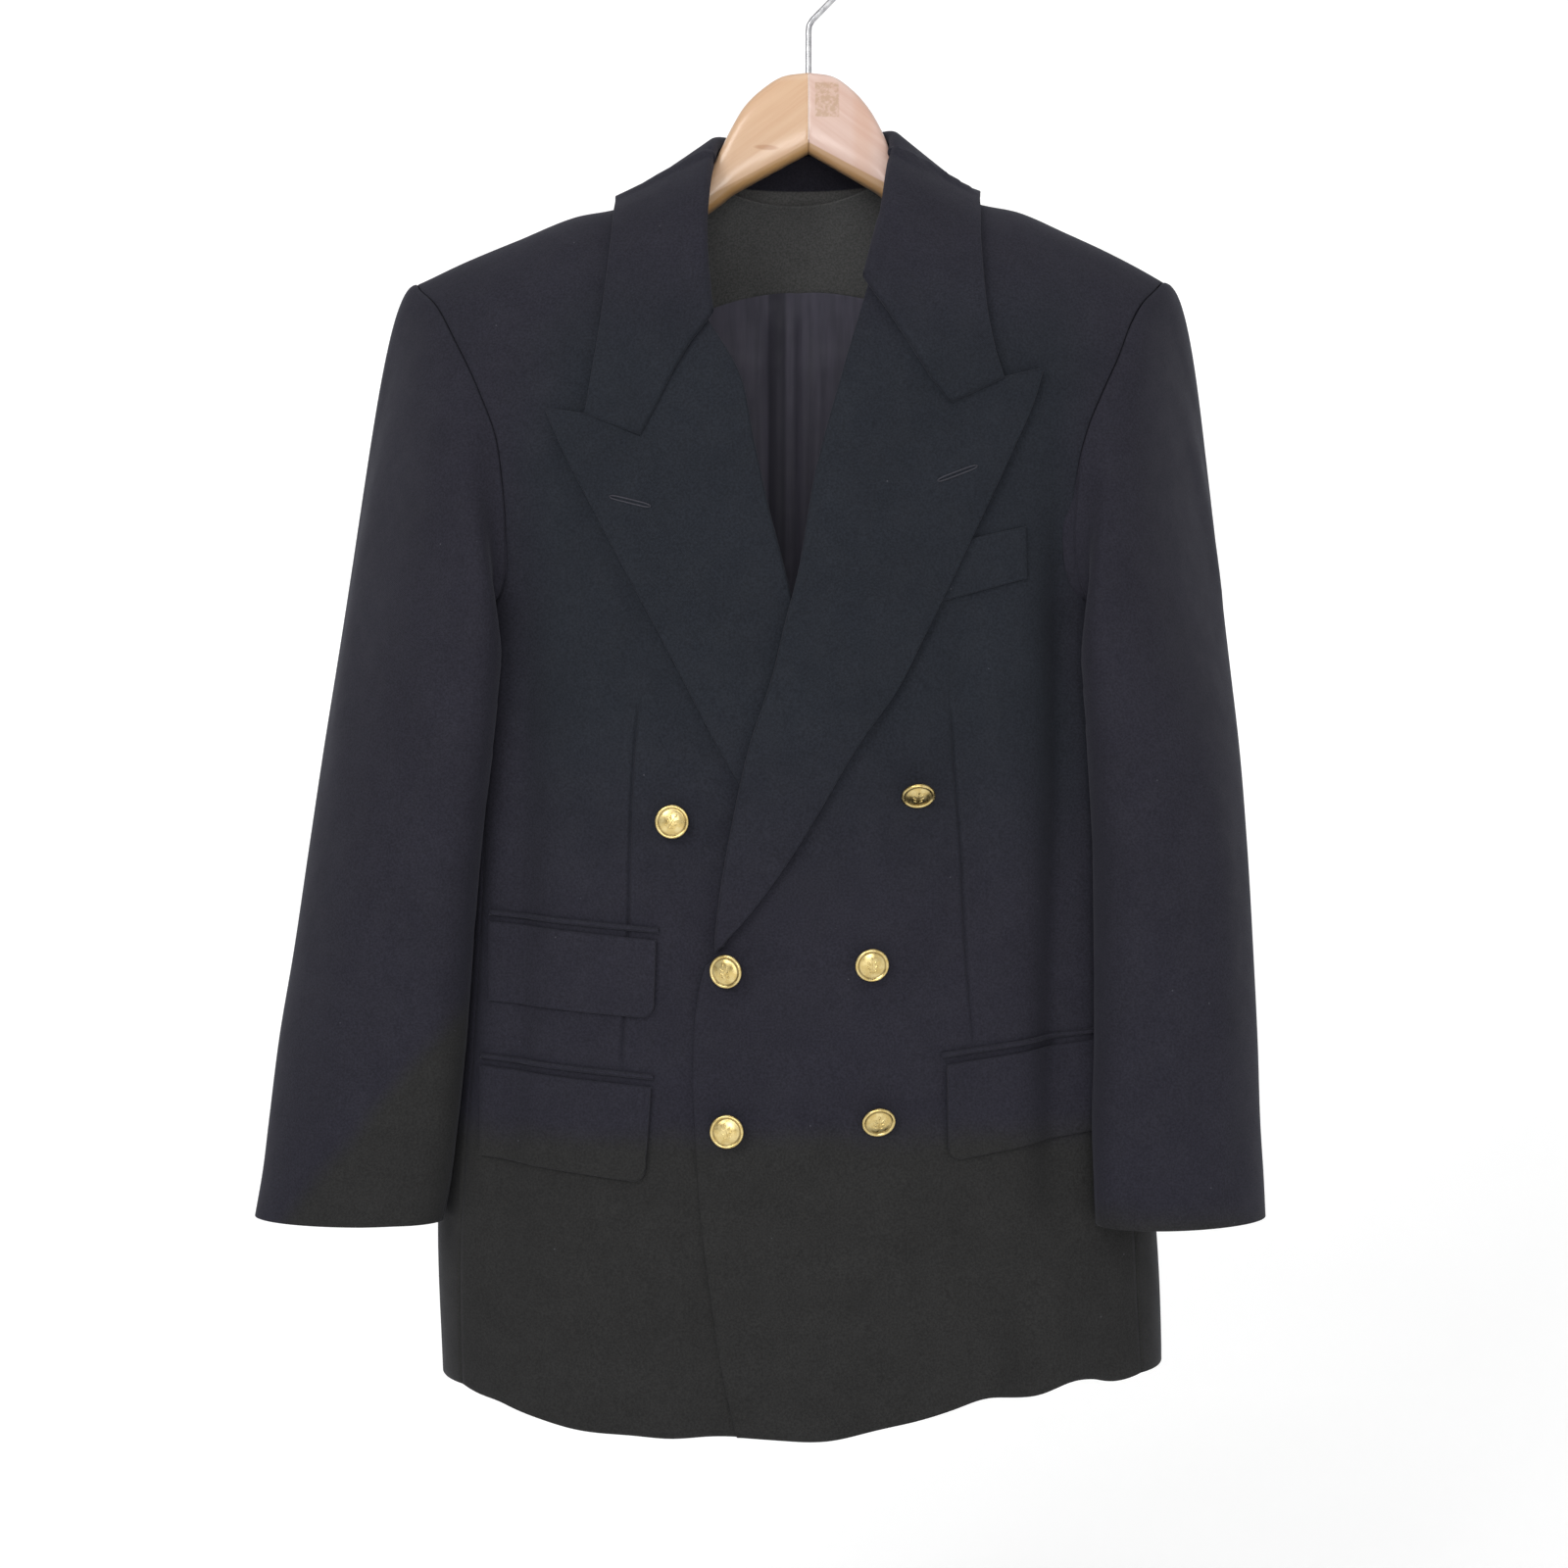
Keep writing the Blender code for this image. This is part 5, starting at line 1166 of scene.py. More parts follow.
def shell(points, thick, edge):
    """Points and faces of a cloth shell under a grid, with a turned edge all round it."""
    rows, columns = points.shape[:2]
    normals = grid_normals(points)
    flat_normals = normals.reshape(-1, 3)
    rim = border(rows, columns)
    outline = points.reshape(-1, 3)[rim]
    along = np.roll(outline, -1, axis=0) - np.roll(outline, 1, axis=0)
    away = unit(np.cross(flat_normals[rim], unit(along)))
    centre = outline.mean(axis=0)
    if np.mean(np.sum(away * (outline - centre), axis=-1)) < 0:
        away = -away
    half = thick / 2
    reach = half * edge
    outer = points.reshape(-1, 3).copy()
    outer[rim] -= away * reach
    inner = outer - flat_normals * thick
    middle = outline - away * reach - flat_normals[rim] * half
    loops = []
    for angle in (50, 0, -50):
        turn = math.radians(angle)
        out = away * reach * math.cos(turn) + flat_normals[rim] * half * math.sin(turn)
        loops.append(middle + out)
    count = len(outer)
    faces = grid_faces(rows, columns)
    inner_faces = faces[:, ::-1] + count
    size = len(rim)
    rings = [rim, *(2 * count + size * i + np.arange(size) for i in range(3)), rim + count]
    strips = []
    for first, second in zip(rings, rings[1:]):
        after_first, after_second = np.roll(first, -1), np.roll(second, -1)
        strips.append(np.stack((first, after_first, after_second, second), axis=1))
    everything = np.vstack((outer, inner, *loops))
    return everything, np.vstack((faces, inner_faces, *strips)), rings


def lengths_across(points):
    steps = np.linalg.norm(np.diff(points, axis=1), axis=-1)
    return np.concatenate((np.zeros((points.shape[0], 1)), np.cumsum(steps, axis=1)), axis=1)


def add_mesh(name, points, faces, material, weave=None):
    """A smooth mesh in the scene that rides with the part. weave holds a UV pair for each point."""
    mesh = bpy.data.meshes.new(name)
    mesh.from_pydata(points.tolist(), [], faces.tolist())
    mesh.shade_smooth()
    if weave is not None:
        layer = mesh.uv_layers.new(name="weave")
        index = np.empty(len(mesh.loops), dtype=np.int32)
        mesh.loops.foreach_get("vertex_index", index)
        layer.data.foreach_set("uv", weave[index].astype(np.float32).ravel())
    mesh.materials.append(material)
    item = bpy.data.objects.new(name, mesh)
    bpy.context.scene.collection.objects.link(item)
    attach(item, "root")
    return item


def cloth(name, points, material, thick=CLOTH, edge=0.45, node=None):
    """One cut piece of cloth on a grid, built in place of its solid, which is hidden."""
    everything, faces, rings = shell(points, thick, edge)
    across = lengths_across(points)
    down = lengths_across(points.transpose(1, 0, 2)).T
    flat = np.stack((across, down), axis=-1).reshape(-1, 2)
    rim = rings[0]
    weave = np.vstack((flat, flat, flat[rim], flat[rim], flat[rim]))
    item = add_mesh(name + "_cloth", everything, faces, material, weave)
    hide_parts(node or name)
    return item


# Creases

def creases_at(table, across, down):
    """Sum of soft ridges and troughs, each along a line that fades out at its ends."""
    total = np.zeros(np.broadcast(across, down).shape)
    for x1, z1, x2, z2, width, height in table:
        along_x, along_z = x2 - x1, z2 - z1
        length = math.hypot(along_x, along_z)
        share = ((across - x1) * along_x + (down - z1) * along_z) / length**2
        side = ((across - x1) * along_z - (down - z1) * along_x) / length
        fade = smoothstep(-0.15, 0.25, share) * (1 - smoothstep(0.75, 1.15, share))
        wander = 0.25 * width * np.sin(share * 5.0 + x1 * 40)
        total = total + height * np.exp(-(((side + wander) / width) ** 2)) * fade
    return total


def front_creases(x, z):
    return creases_at(FRONT_CREASES, x, z)


def back_creases(x, z):
    return creases_at(BACK_CREASES, x, z)


def left_out(x, z):
    return left_front_out(x, z) + front_creases(x, z)


def right_out(x, z):
    return front_creases(x, z)


# Pieces of cloth

def warped_shares(x, inner, outer, count):
    """Shares across each row that put close columns beside a line at x, for a sharp groove."""
    centre = (x - inner) / (outer - inner)
    near = np.array((-0.0030, -0.0018, -0.0011, -0.0006, 0.0, 0.0006, 0.0011, 0.0018, 0.0030))
    width = outer - inner
    middle = centre[:, None] + near[None] / width[:, None]
    before = np.linspace(0, 1, count // 2 + 1)[:-1][None] * middle[:, :1]
    after = middle[:, -1:] + np.linspace(0, 1, count // 2 + 1)[1:][None] * (1 - middle[:, -1:])
    return np.concatenate((before, middle, after), axis=1)


def dart_groove(dart, x, z):
    """The narrow valley of a dart's seam, fading out at its ends."""
    place = spline([row[1] for row in dart[::-1]], [row[0] for row in dart[::-1]])
    top, low = dart[0][1], dart[-1][1]
    fade = smoothstep(top + 0.004, top - 0.030, z) * smoothstep(low - 0.004, low + 0.002, z)
    return -DART_DEPTH * np.exp(-(((x - place(z)) / DART_WIDTH) ** 2)) * fade


def build_fronts(material):
    for side, name, out_at, dart in ((-1, "front_right", right_out, DART_RIGHT), (1, "front_left", left_out, DART_LEFT)):
        inner, outer = front_edges(side)
        place = spline([row[1] for row in dart[::-1]], [row[0] for row in dart[::-1]])
        dart_x = place(outer[:, 1])
        low, high = np.minimum(inner[:, 0], outer[:, 0]), np.maximum(inner[:, 0], outer[:, 0])
        dart_x = np.clip(dart_x, low + 0.02, high - 0.02)
        shares = warped_shares(side * dart_x, side * inner[:, 0], side * outer[:, 0], FRONT_COLUMNS)
        x, z = ruled(inner, outer, shares)
        if side < 0:
            x, z = x[:, ::-1], z[:, ::-1]
        points = panel_points(x, z, out_at, extra=dart_groove(dart, x, z) + hem_wave(x, z))
        cloth(name, points, material)


def hem_wave(x, z):
    """The hem's uneven swing, which dies out upwards."""
    low = smoothstep(-0.84, -0.93, z)
    return low * (0.0022 * np.sin(x * 62 + 0.6) + 0.0012 * np.sin(x * 131))


def build_sides(material):
    front_angle = math.acos(FRONT_SEAM ** (ROUNDNESS / 2))
    back_angle = -math.acos(BACK_SEAM ** (ROUNDNESS / 2))
    for side, name in ((-1, "side_right"), (1, "side_left")):
        past, under = np.array(SIDE_TUCK).T
        seen = np.linspace(front_angle - SIDE_TRIM, back_angle + SIDE_TRIM, SIDE_COLUMNS)
        angles = np.concatenate((front_angle + past, seen, back_angle - past[::-1]))
        tuck = np.concatenate((under, 0 * seen, under[::-1]))
        shares = np.clip((angles - seen[0]) / (seen[-1] - seen[0]), 0, 1)
        top = ARMPIT_Z - ARMPIT_DIP * np.sin(shares * np.pi) - SEAM_GAP
        fall = np.linspace(0, 1, SEAM_ROWS + 1)
        z = top[None] + (side_hem(side) - top[None]) * fall[:, None]
        points = side_point(side, angles[None] + 0 * z, z)
        front_x, back_x = points[:, 2:3, 0], points[:, -3:-2, 0]
        out = (front_creases(front_x, z) + hem_wave(front_x, z)) * (1 - smoothstep(0, 0.5, shares))
        out = out + back_creases(back_x, z) * smoothstep(0.5, 1, shares)
        out = out + 0.0016 * np.sin(z * 21 + side) * np.sin(shares[None] * np.pi) - tuck
        if side < 0:
            points, out = points[:, ::-1], out[:, ::-1]
        points = points + grid_normals(points) * out[..., None]
        cloth(name, points, material)


def build_backs(material):
    shares = np.linspace(0, 1, BACK_COLUMNS)
    for side, name in ((-1, "back_right"), (1, "back_left")):
        x, turns = back_grid(side, shares)
        z = body(x, turns)[..., 2]
        points = on_body(x, -turns, back_creases(x, z))
        if side < 0:
            points = points[:, ::-1]
        cloth(name, points[:, ::-1], material)


def build_neck_inside(wool, lining):
    x = CENTRE_X + FACING_REACH * np.linspace(-1, 1, 61)
    neckline = np.where(x < CENTRE_X, back_top_turn(x, -1), back_top_turn(x, 1))
    top = np.maximum(neckline, 0.10) - 0.014 - 0.040 * np.exp(-(((x - CENTRE_X) / 0.036) ** 2))
    turn = lerp(top[None], FACING_LOW_TURN, np.linspace(0, 1, 34)[:, None])
    wide = x[None] + 0 * turn
    out = back_creases(wide, body(wide, turn)[..., 2]) - CLOTH - LINING_GAP
    points = on_body(wide, -turn, out)
    cloth("back_neck_facing", points[:, ::-1], wool, thick=FACING)
    rows = np.linspace(0, 1, 150)[:, None]
    low = float(turn_at(CENTRE_X, BACK_HEM_Z + LINING_SHORT))
    turn = lerp(FACING_LOW_TURN - 0.012, low, rows) + np.zeros(121)
    width = lerp(FACING_REACH, LINING_REACH, smoothstep(0, 0.28, rows))
    x = CENTRE_X + width * np.linspace(-1, 1, 121)
    z = body(x, turn)[..., 2]
    fade = smoothstep(0.01, 0.05, rows) * (1 - smoothstep(0.5, 0.9, rows))
    pleat = PLEAT_DEPTH * np.exp(-(((x - PLEAT_X) / PLEAT_WIDTH) ** 2)) * fade
    fold = 0.0030 * np.exp(-(((x - PLEAT_X - 0.0095) / 0.0035) ** 2)) * fade
    slack = np.maximum(creases_at(LINING_CREASES, x, z), 0) * smoothstep(0.01, 0.08, rows)
    points = on_body(x, -turn, back_creases(x, z) - CLOTH - LINING_GAP - pleat - fold - slack)
    cloth("back_lining", points[:, ::-1], lining, thick=LINING, edge=0.3)


def sleeve_creases(side, degrees, points):
    table = SLEEVE_CREASES_RIGHT if side < 0 else SLEEVE_CREASES_LEFT
    return creases_at(table, degrees[None] * METRES_A_DEGREE + 0 * points[..., 2], points[..., 2])


def seam_allowance(side, points):
    """Rows that carry a sleeve's first ring on, in under the panels that it is sewn to."""
    start = points[0]
    middle_y, middle_z = ARMHOLE_MIDDLE
    radial = np.stack((0 * start[:, 0], start[:, 1] - middle_y, start[:, 2] - middle_z), axis=-1)
    inward = np.array((-side, 0.0, 0.0))
    rows = [start + inward * along - unit(radial) * under for along, under in ALLOWANCE]
    return np.concatenate((np.array(rows), points[1:]), axis=0)


def build_sleeves(material):
    first, second = SLEEVE_SEAMS
    for side, word in ((-1, "right"), (1, "left")):
        corners = np.sort(loop_degrees(armhole_loop(side)))
        round_top = np.concatenate((corners[corners > second] - 360, corners[corners < first]))
        pieces = (
            ("sleeve_top", seam_degrees(second - 360, first, round_top)),
            ("sleeve_under", seam_degrees(first, second, corners)),
        )
        for piece, degrees in pieces:
            points = trim_sides(sleeve_points(side, degrees, 110), SLEEVE_TRIM * 0.25)
            normals = grid_normals(points) * (1 if side < 0 else -1)
            rows = np.arange(len(points))[:, None]
            settled = smoothstep(1, 22, rows)
            out = sleeve_creases(side, degrees, points) * settled
            points = seam_allowance(side, points + normals * out[..., None])
            if side > 0:
                points = points[:, ::-1]
            cloth(piece + "_" + word, points, material)


def build_lapels(material):
    for side, name, out_at in ((-1, "lapel_right", right_out), (1, "lapel_left", left_out)):
        x, z, across = lapel_grid(side, 110)
        rise = lapel_rise(side, z, across)
        points = panel_points(x, z, out_at, extra=rise)
        normals = body_normal(x[:, 0], turn_at(x[:, 0], z[:, 0]))
        points = add_fold(points, normals, angles=(165, 145, 125, 105, 88, 72, 56, 40, 26, 13))
        if side < 0:
            points = points[:, ::-1]
        cloth(name, points, material, edge=0.8)


def lapel_rise(side, z, across):
    """How far a lapel stands over its front: a soft belly, and an edge that lifts a little."""
    rise = FOLD_LIFT + (EDGE_LIFT - FOLD_LIFT) * smoothstep(0.3, 1.0, across)
    belly = 0.0007 * np.sin(np.clip(across, 0, 1) * np.pi)
    rise = rise + belly + 0 * z
    if side < 0:
        hidden = smoothstep(-0.50, -0.56, z)
        rise = rise + (FOLD_LIFT - rise) * hidden
    return rise


def build_collar(material, inner_material):
    stations = np.linspace(0, 1, 190)
    points = collar_fall_points(stations)
    along = np.gradient(points[:, 0], axis=0)
    normals = unit(np.cross(along, points[:, 1] - points[:, 0]))
    points = add_fold(points, normals, angles=(165, 145, 125, 105, 88, 72, 56, 40, 26, 13))
    cloth("collar_fall", points[::-1], material, edge=0.8)
    fold, _, seam = collar_rails(np.linspace(*STAND_ENDS, 120))
    band = stand_band(fold, seam, 14)
    everything = band + grid_normals(band) * STAND_WALL
    cloth("collar_stand", everything, inner_material, thick=STAND_WALL)


def build_pockets(material):
    for name, *sizes in FLAPS:
        corners = (sizes[0:2], sizes[2:4], sizes[4:6], sizes[6:8])
        x, z = patch_grid(corners, 40, 60)
        near = np.linspace(0, 1, 60) ** 1.6
        x = lerp(x[:, :1], x[:, -1:], near[None])
        z = lerp(z[:, :1], z[:, -1:], near[None])
        inside = np.clip(FLAP_CORNER - np.abs(x[-1] - x[-1, 0]), 0, FLAP_CORNER)
        rise = FLAP_CORNER - np.sqrt(np.maximum(FLAP_CORNER**2 - inside**2, 0))
        z = z + np.linspace(0, 1, 40)[:, None] ** 2 * rise[None]
        place_patch(name, x, z, FLAP_LIFT, CLOTH, material, edge=0.8)
    for name, inner_x, inner_z, outer_x, outer_z in JETS:
        corners = (
            (inner_x, inner_z + JET_WIDTH),
            (outer_x, outer_z + JET_WIDTH),
            (inner_x, inner_z),
            (outer_x, outer_z),
        )
        x, z = patch_grid(corners, 7, 60)
        place_patch(name, x, z, JET_LIFT, JET_WALL, material, edge=0.9)
    x, z = patch_grid(WELT, 24, 34)
    place_patch("chest_welt", x, z, WELT_LIFT, WELT_WALL, material, edge=0.7)


def place_patch(name, x, z, lift, thick, material, edge):
    out_at = right_out if x.mean() < 0 else left_out
    points = panel_points(x, z, out_at, extra=lift)
    if x.mean() < 0:
        points = points[:, ::-1]
    cloth(name, points, material, thick=thick, edge=edge)


# Small trim

def tube(name, route, radius, material, closed=False):
    curve = bpy.data.curves.new(name, "CURVE")
    curve.dimensions = "3D"
    curve.bevel_depth = radius
    curve.bevel_resolution = 3
    curve.use_fill_caps = True
    line = curve.splines.new("POLY")
    line.points.add(len(route) - 1)
    for point, place in zip(line.points, route):
        point.co = (*place, 1.0)
    line.use_cyclic_u = closed
    line.use_smooth = True
    curve.materials.append(material)
    item = bpy.data.objects.new(name, curve)
    bpy.context.scene.collection.objects.link(item)
    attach(item, "root")
    return item


def on_lapel(side, x, z, out):
    """Points over a lapel's outer face."""
    roll = (roll_right_x if side < 0 else roll_left_x)(z)
    edge = x_by_z(LAPEL_EDGE_RIGHT if side < 0 else LAPEL_EDGE_LEFT)(z)
    across = np.clip((x - roll) / (edge - roll), 0, 1)
    rise = lapel_rise(side, z, across) + out
    return panel_points(x, z, right_out if side < 0 else left_out, extra=rise)


def build_buttonholes(thread):
    """The worked buttonhole on each lapel: a ring of close stitches round a slit."""
    for side, name, start, stop in LAPEL_HOLES:
        start, stop = np.array(start), np.array(stop)
        along = (stop - start) / np.linalg.norm(stop - start)
        aside = np.array((-along[1], along[0]))
        angles = np.linspace(0, 2 * np.pi, 96, endpoint=False)
        length = np.linalg.norm(stop - start) / 2
        shape = np.stack(
            (length * np.sign(np.cos(angles)) * np.abs(np.cos(angles)) ** 0.35, HOLE_HALF * np.sin(angles)), axis=-1
        )
        flat = (start + stop) / 2 + shape[:, :1] * along + shape[:, 1:] * aside
        wiggle = 0.00012 * np.sin(np.arange(96) * 2.4)
        route = on_lapel(side, flat[:, 0], flat[:, 1], 0.0002 + wiggle)
        tube(name, route, 0.00045, thread, closed=True)


def revolve(profile, steps):
    """Points and faces of a turned shape from radius and height pairs, axis along +Z."""
    angles = np.linspace(0, 2 * np.pi, steps, endpoint=False)
    rings = np.stack(
        [np.stack((radius * np.cos(angles), radius * np.sin(angles), 0 * angles + height), axis=-1)
         for radius, height in profile]
    )
    count = len(profile)
    faces = []
    for ring in range(count - 1):
        for step in range(steps):
            after = (step + 1) % steps
            base = ring * steps
            faces.append((base + step, base + steps + step, base + steps + after, base + after))
    faces.append(tuple(range(steps)))
    faces.append(tuple(reversed(range((count - 1) * steps, count * steps))))
    return rings.reshape(-1, 3), faces


def leaf_points(centre, angle, length, width, height):
    """A small raised leaf on a button's face, as a dome on a pointed oval."""
    rings = []
    for level in (0.0, 0.35, 0.7, 0.95):
        scale = math.sqrt(1 - level**2)
        turn = np.linspace(0, 2 * np.pi, 12, endpoint=False)
        x = length * scale * np.cos(turn)
        y = width * scale * np.sin(turn) * (1 - 0.35 * np.cos(turn))
        spun = np.stack((x * math.cos(angle) - y * math.sin(angle), x * math.sin(angle) + y * math.cos(angle)), axis=-1)
        rings.append(np.column_stack((spun + centre, np.full(12, height * level))))
    points = np.vstack(rings)
    faces = []
    for ring in range(3):
        for step in range(12):
            after = (step + 1) % 12
            base = ring * 12
            faces.append((base + step, base + after, base + 12 + after, base + 12 + step))
    faces.append(tuple(36 + np.arange(12)))
    return points, faces


def dome_height(radius):
    profile = sorted(BUTTON_FACE)
    return float(np.interp(radius, [row[0] for row in profile], [row[1] for row in profile]))


def motif():
    """A plain sprig: a stem with pairs of leaves, raised on the button's domed face."""
    points, faces = [], []
    start = 0
    for x, y, angle, length, width in MOTIF_LEAVES:
        base = dome_height(math.hypot(x, y)) - 0.0003
        leaf, leaf_faces = leaf_points(np.array((x, y)), math.radians(angle), length, width, 0.00065)
        leaf[:, 2] += base
        points.append(leaf)
        faces += [tuple(int(index) + start for index in face) for face in leaf_faces]
        start += len(leaf)
    return np.vstack(points), faces


def build_buttons(brass, thread):
    points, faces = revolve(BUTTON_OUTLINE, 72)
    sprig, sprig_faces = motif()
    offset = len(points)
    all_faces = [*faces, *(tuple(index + offset for index in face) for face in sprig_faces)]
    everything = np.vstack((points, sprig))
    for index, (x, z, nod, swing) in enumerate(BUTTONS):
        matrix = button_place(x, z, nod, swing)
        spin = Matrix.Rotation(math.radians(BUTTON_SPINS[index]), 4, "Z")
        placed = np.array([(matrix @ spin) @ Vector(point) for point in everything])
        mesh = bpy.data.meshes.new("button_%d_brass" % (index + 1))
        mesh.from_pydata(placed.tolist(), [], all_faces)
        mesh.shade_smooth()
        mesh.materials.append(brass)
        item = bpy.data.objects.new(mesh.name, mesh)
        bpy.context.scene.collection.objects.link(item)
        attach(item, "root")
        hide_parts("button_%d" % (index + 1))
        eye = np.array(matrix @ Vector((0, 0, -SHANK_LENGTH)))
        out_at = left_out if x > -0.075 else right_out
        face = on_body(x, turn_at(x, z), out_at(x, z))
        middle = (eye + face) / 2 + np.array((0, 0, 0.0004))
        tube("button_%d_thread" % (index + 1), np.array((face, middle, eye)), 0.0012, thread)


# Hanger

def build_hanger(wood):
    for side, name, table in ((-1, "hanger_arm_right", ARM_RIGHT), (1, "hanger_arm_left", ARM_LEFT)):
        rows = np.array(table)
        knots = chord_shares(rows[:, :2])
        fine = np.unique(np.concatenate((np.linspace(0, 1, 130), knots)))
        smooth = spline(knots, rows)(fine)
        rings = arm_points([tuple(row) for row in smooth], 64)
        count, around = rings.shape[:2]
        index = np.arange(count * around).reshape(count, around)
        first, after = index[:-1], np.roll(index, -1, axis=1)[:-1]
        faces = np.stack((first, after, after + around, first + around), axis=-1).reshape(-1, 4)
        if side < 0:
            faces = faces[:, ::-1]
        ends = [tuple(index[0][::-1]), tuple(index[-1])]
        if side < 0:
            ends = [face[::-1] for face in ends]
        mesh = bpy.data.meshes.new(name + "_wood")
        mesh.from_pydata(rings.reshape(-1, 3).tolist(), [], [*faces.tolist(), *ends])
        mesh.shade_smooth()
        mesh.materials.append(wood)
        item = bpy.data.objects.new(mesh.name, mesh)
        bpy.context.scene.collection.objects.link(item)
        bevel = item.modifiers.new("eased_joint", "BEVEL")
        bevel.width = 0.0006
        bevel.segments = 2
        bevel.limit_method = "ANGLE"
        bevel.angle_limit = math.radians(60)
        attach(item, "root")
        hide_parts(name)


def build_hook(steel):
    centre = np.array((0.0, 0.0, HOOK_WIRE - HOOK_RADIUS))
    stem = np.array([(0.0, 0.0, HANGER_CENTRE_TOP), *((x, 0.0, z) for x, z in HOOK_STEM)])
    bend = [
        centre + HOOK_RADIUS * np.array((math.cos(turn), 0.0, math.sin(turn)))
        for turn in np.radians(np.arange(-45, 211, 3))
    ]
    route = np.vstack((stem, bend))
    item = tube("hanger_hook_wire", route, HOOK_WIRE, steel)
    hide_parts("hanger_hook")


# Materials

class Tree:
    """A short way to build a node material."""

    def __init__(self, name):
        self.material = bpy.data.materials.new(name)
        self.material.use_nodes = True
        self.nodes = self.material.node_tree.nodes
        self.links = self.material.node_tree.links
        self.shader = self.nodes["Principled BSDF"]

    def add(self, kind, **settings):
        node = self.nodes.new(kind)
        for key, value in settings.items():
            setattr(node, key, value)
        return node

    def put(self, node, name, value):
        if isinstance(value, bpy.types.NodeSocket):
            self.links.new(value, node.inputs[name])
        else:
            node.inputs[name].default_value = value
        return node

    def place(self, kind="Object"):
        return self.add("ShaderNodeTexCoord").outputs[kind]

    def noise(self, where, scale, detail=3.0, roughness=0.55, stretch=None):
        if stretch:
            mapping = self.add("ShaderNodeMapping")
            self.put(mapping, "Vector", where)
            self.put(mapping, "Scale", stretch)
            where = mapping.outputs["Vector"]
        node = self.add("ShaderNodeTexNoise")
        self.put(node, "Vector", where)
        self.put(node, "Scale", scale)
        self.put(node, "Detail", detail)
        self.put(node, "Roughness", roughness)
        return node.outputs["Fac"]

    def ramp(self, value, low, high, first=0.0, last=1.0, smooth=True):
        node = self.add("ShaderNodeMapRange", interpolation_type="SMOOTHSTEP" if smooth else "LINEAR")
        self.put(node, "Value", value)
        self.put(node, "From Min", low)
        self.put(node, "From Max", high)
        self.put(node, "To Min", first)
        self.put(node, "To Max", last)
        return node.outputs["Result"]

    def maths(self, operation, first, second=0.0):
        node = self.add("ShaderNodeMath", operation=operation)
        for index, value in enumerate((first, second)):
            if isinstance(value, bpy.types.NodeSocket):
                self.links.new(value, node.inputs[index])
            else:
                node.inputs[index].default_value = value
        return node.outputs[0]

    def mix(self, share, first, second, blend="MIX"):
        node = self.add("ShaderNodeMix", data_type="RGBA", blend_type=blend)
        for index, value in ((0, share), (6, first), (7, second)):
            if isinstance(value, bpy.types.NodeSocket):
                self.links.new(value, node.inputs[index])
            else:
                node.inputs[index].default_value = value if index == 0 else (*value, 1.0)
        return node.outputs[2]

    def split(self, where):
        node = self.add("ShaderNodeSeparateXYZ")
        self.links.new(where, node.inputs[0])
        return node.outputs

    def bump(self, height, strength, distance, normal=None):
        node = self.add("ShaderNodeBump")
        self.put(node, "Height", height)
        self.put(node, "Strength", strength)
        self.put(node, "Distance", distance)
        if normal is not None:
            self.put(node, "Normal", normal)
        return node.outputs["Normal"]


def twill(tree, pitch):
    """Fine slanting ribs of a twill, from the cloth's own width and length."""
    across, down, _ = tree.split(tree.place("UV"))
    slant = tree.maths("ADD", tree.maths("MULTIPLY", across, 1.0), tree.maths("MULTIPLY", down, 1.0))
    wave = tree.maths("SINE", tree.maths("MULTIPLY", slant, 2 * math.pi / pitch))
    weft = tree.maths("SINE", tree.maths("MULTIPLY", down, 2 * math.pi / (pitch * 0.8)))
    return tree.maths("ADD", tree.maths("MULTIPLY", wave, 0.6), tree.maths("MULTIPLY", weft, 0.4))


def wool_tone(tree, where, charcoal_at):
    """Navy above and charcoal below, changing along an uneven line."""
    x, _, z = tree.split(where)
    if charcoal_at == "stand":
        # The stand's lower band takes the facing's charcoal, which carries painted light
        return tree.mix(tree.ramp(z, -0.1495, -0.1510), WOOL_NAVY, WOOL_FACING_PAINTED_LIGHT)
    level = tree.maths("ADD", z, tree.maths("MULTIPLY", tree.noise(where, 14.0), 0.03))
    if charcoal_at == "sleeves":
        slanting = tree.maths("ADD", tree.maths("MULTIPLY", x, -1.2), -0.329)
        on_left = tree.ramp(x, -0.01, 0.01, smooth=False)
        right_part = tree.maths("MULTIPLY", slanting, tree.maths("SUBTRACT", 1.0, on_left))
        left_part = tree.maths("MULTIPLY", on_left, 0.050)
        level = tree.maths("ADD", level, tree.maths("ADD", right_part, left_part))
        navy = WOOL_NAVY
    else:
        drift = tree.maths("MULTIPLY", tree.noise(where, 9.0), 0.06)
        off_centre = tree.maths("SUBTRACT", tree.maths("ABSOLUTE", x), drift)
        upper = tree.maths("MULTIPLY", tree.ramp(z, -0.200, -0.300), tree.ramp(z, -0.640, -0.480))
        central = tree.maths("MULTIPLY", tree.ramp(off_centre, 0.165, 0.110), upper)
        navy = tree.mix(central, WOOL_NAVY, WOOL_CENTRE)
    return tree.mix(tree.ramp(level, -0.725, -0.750), navy, WOOL_CHARCOAL)


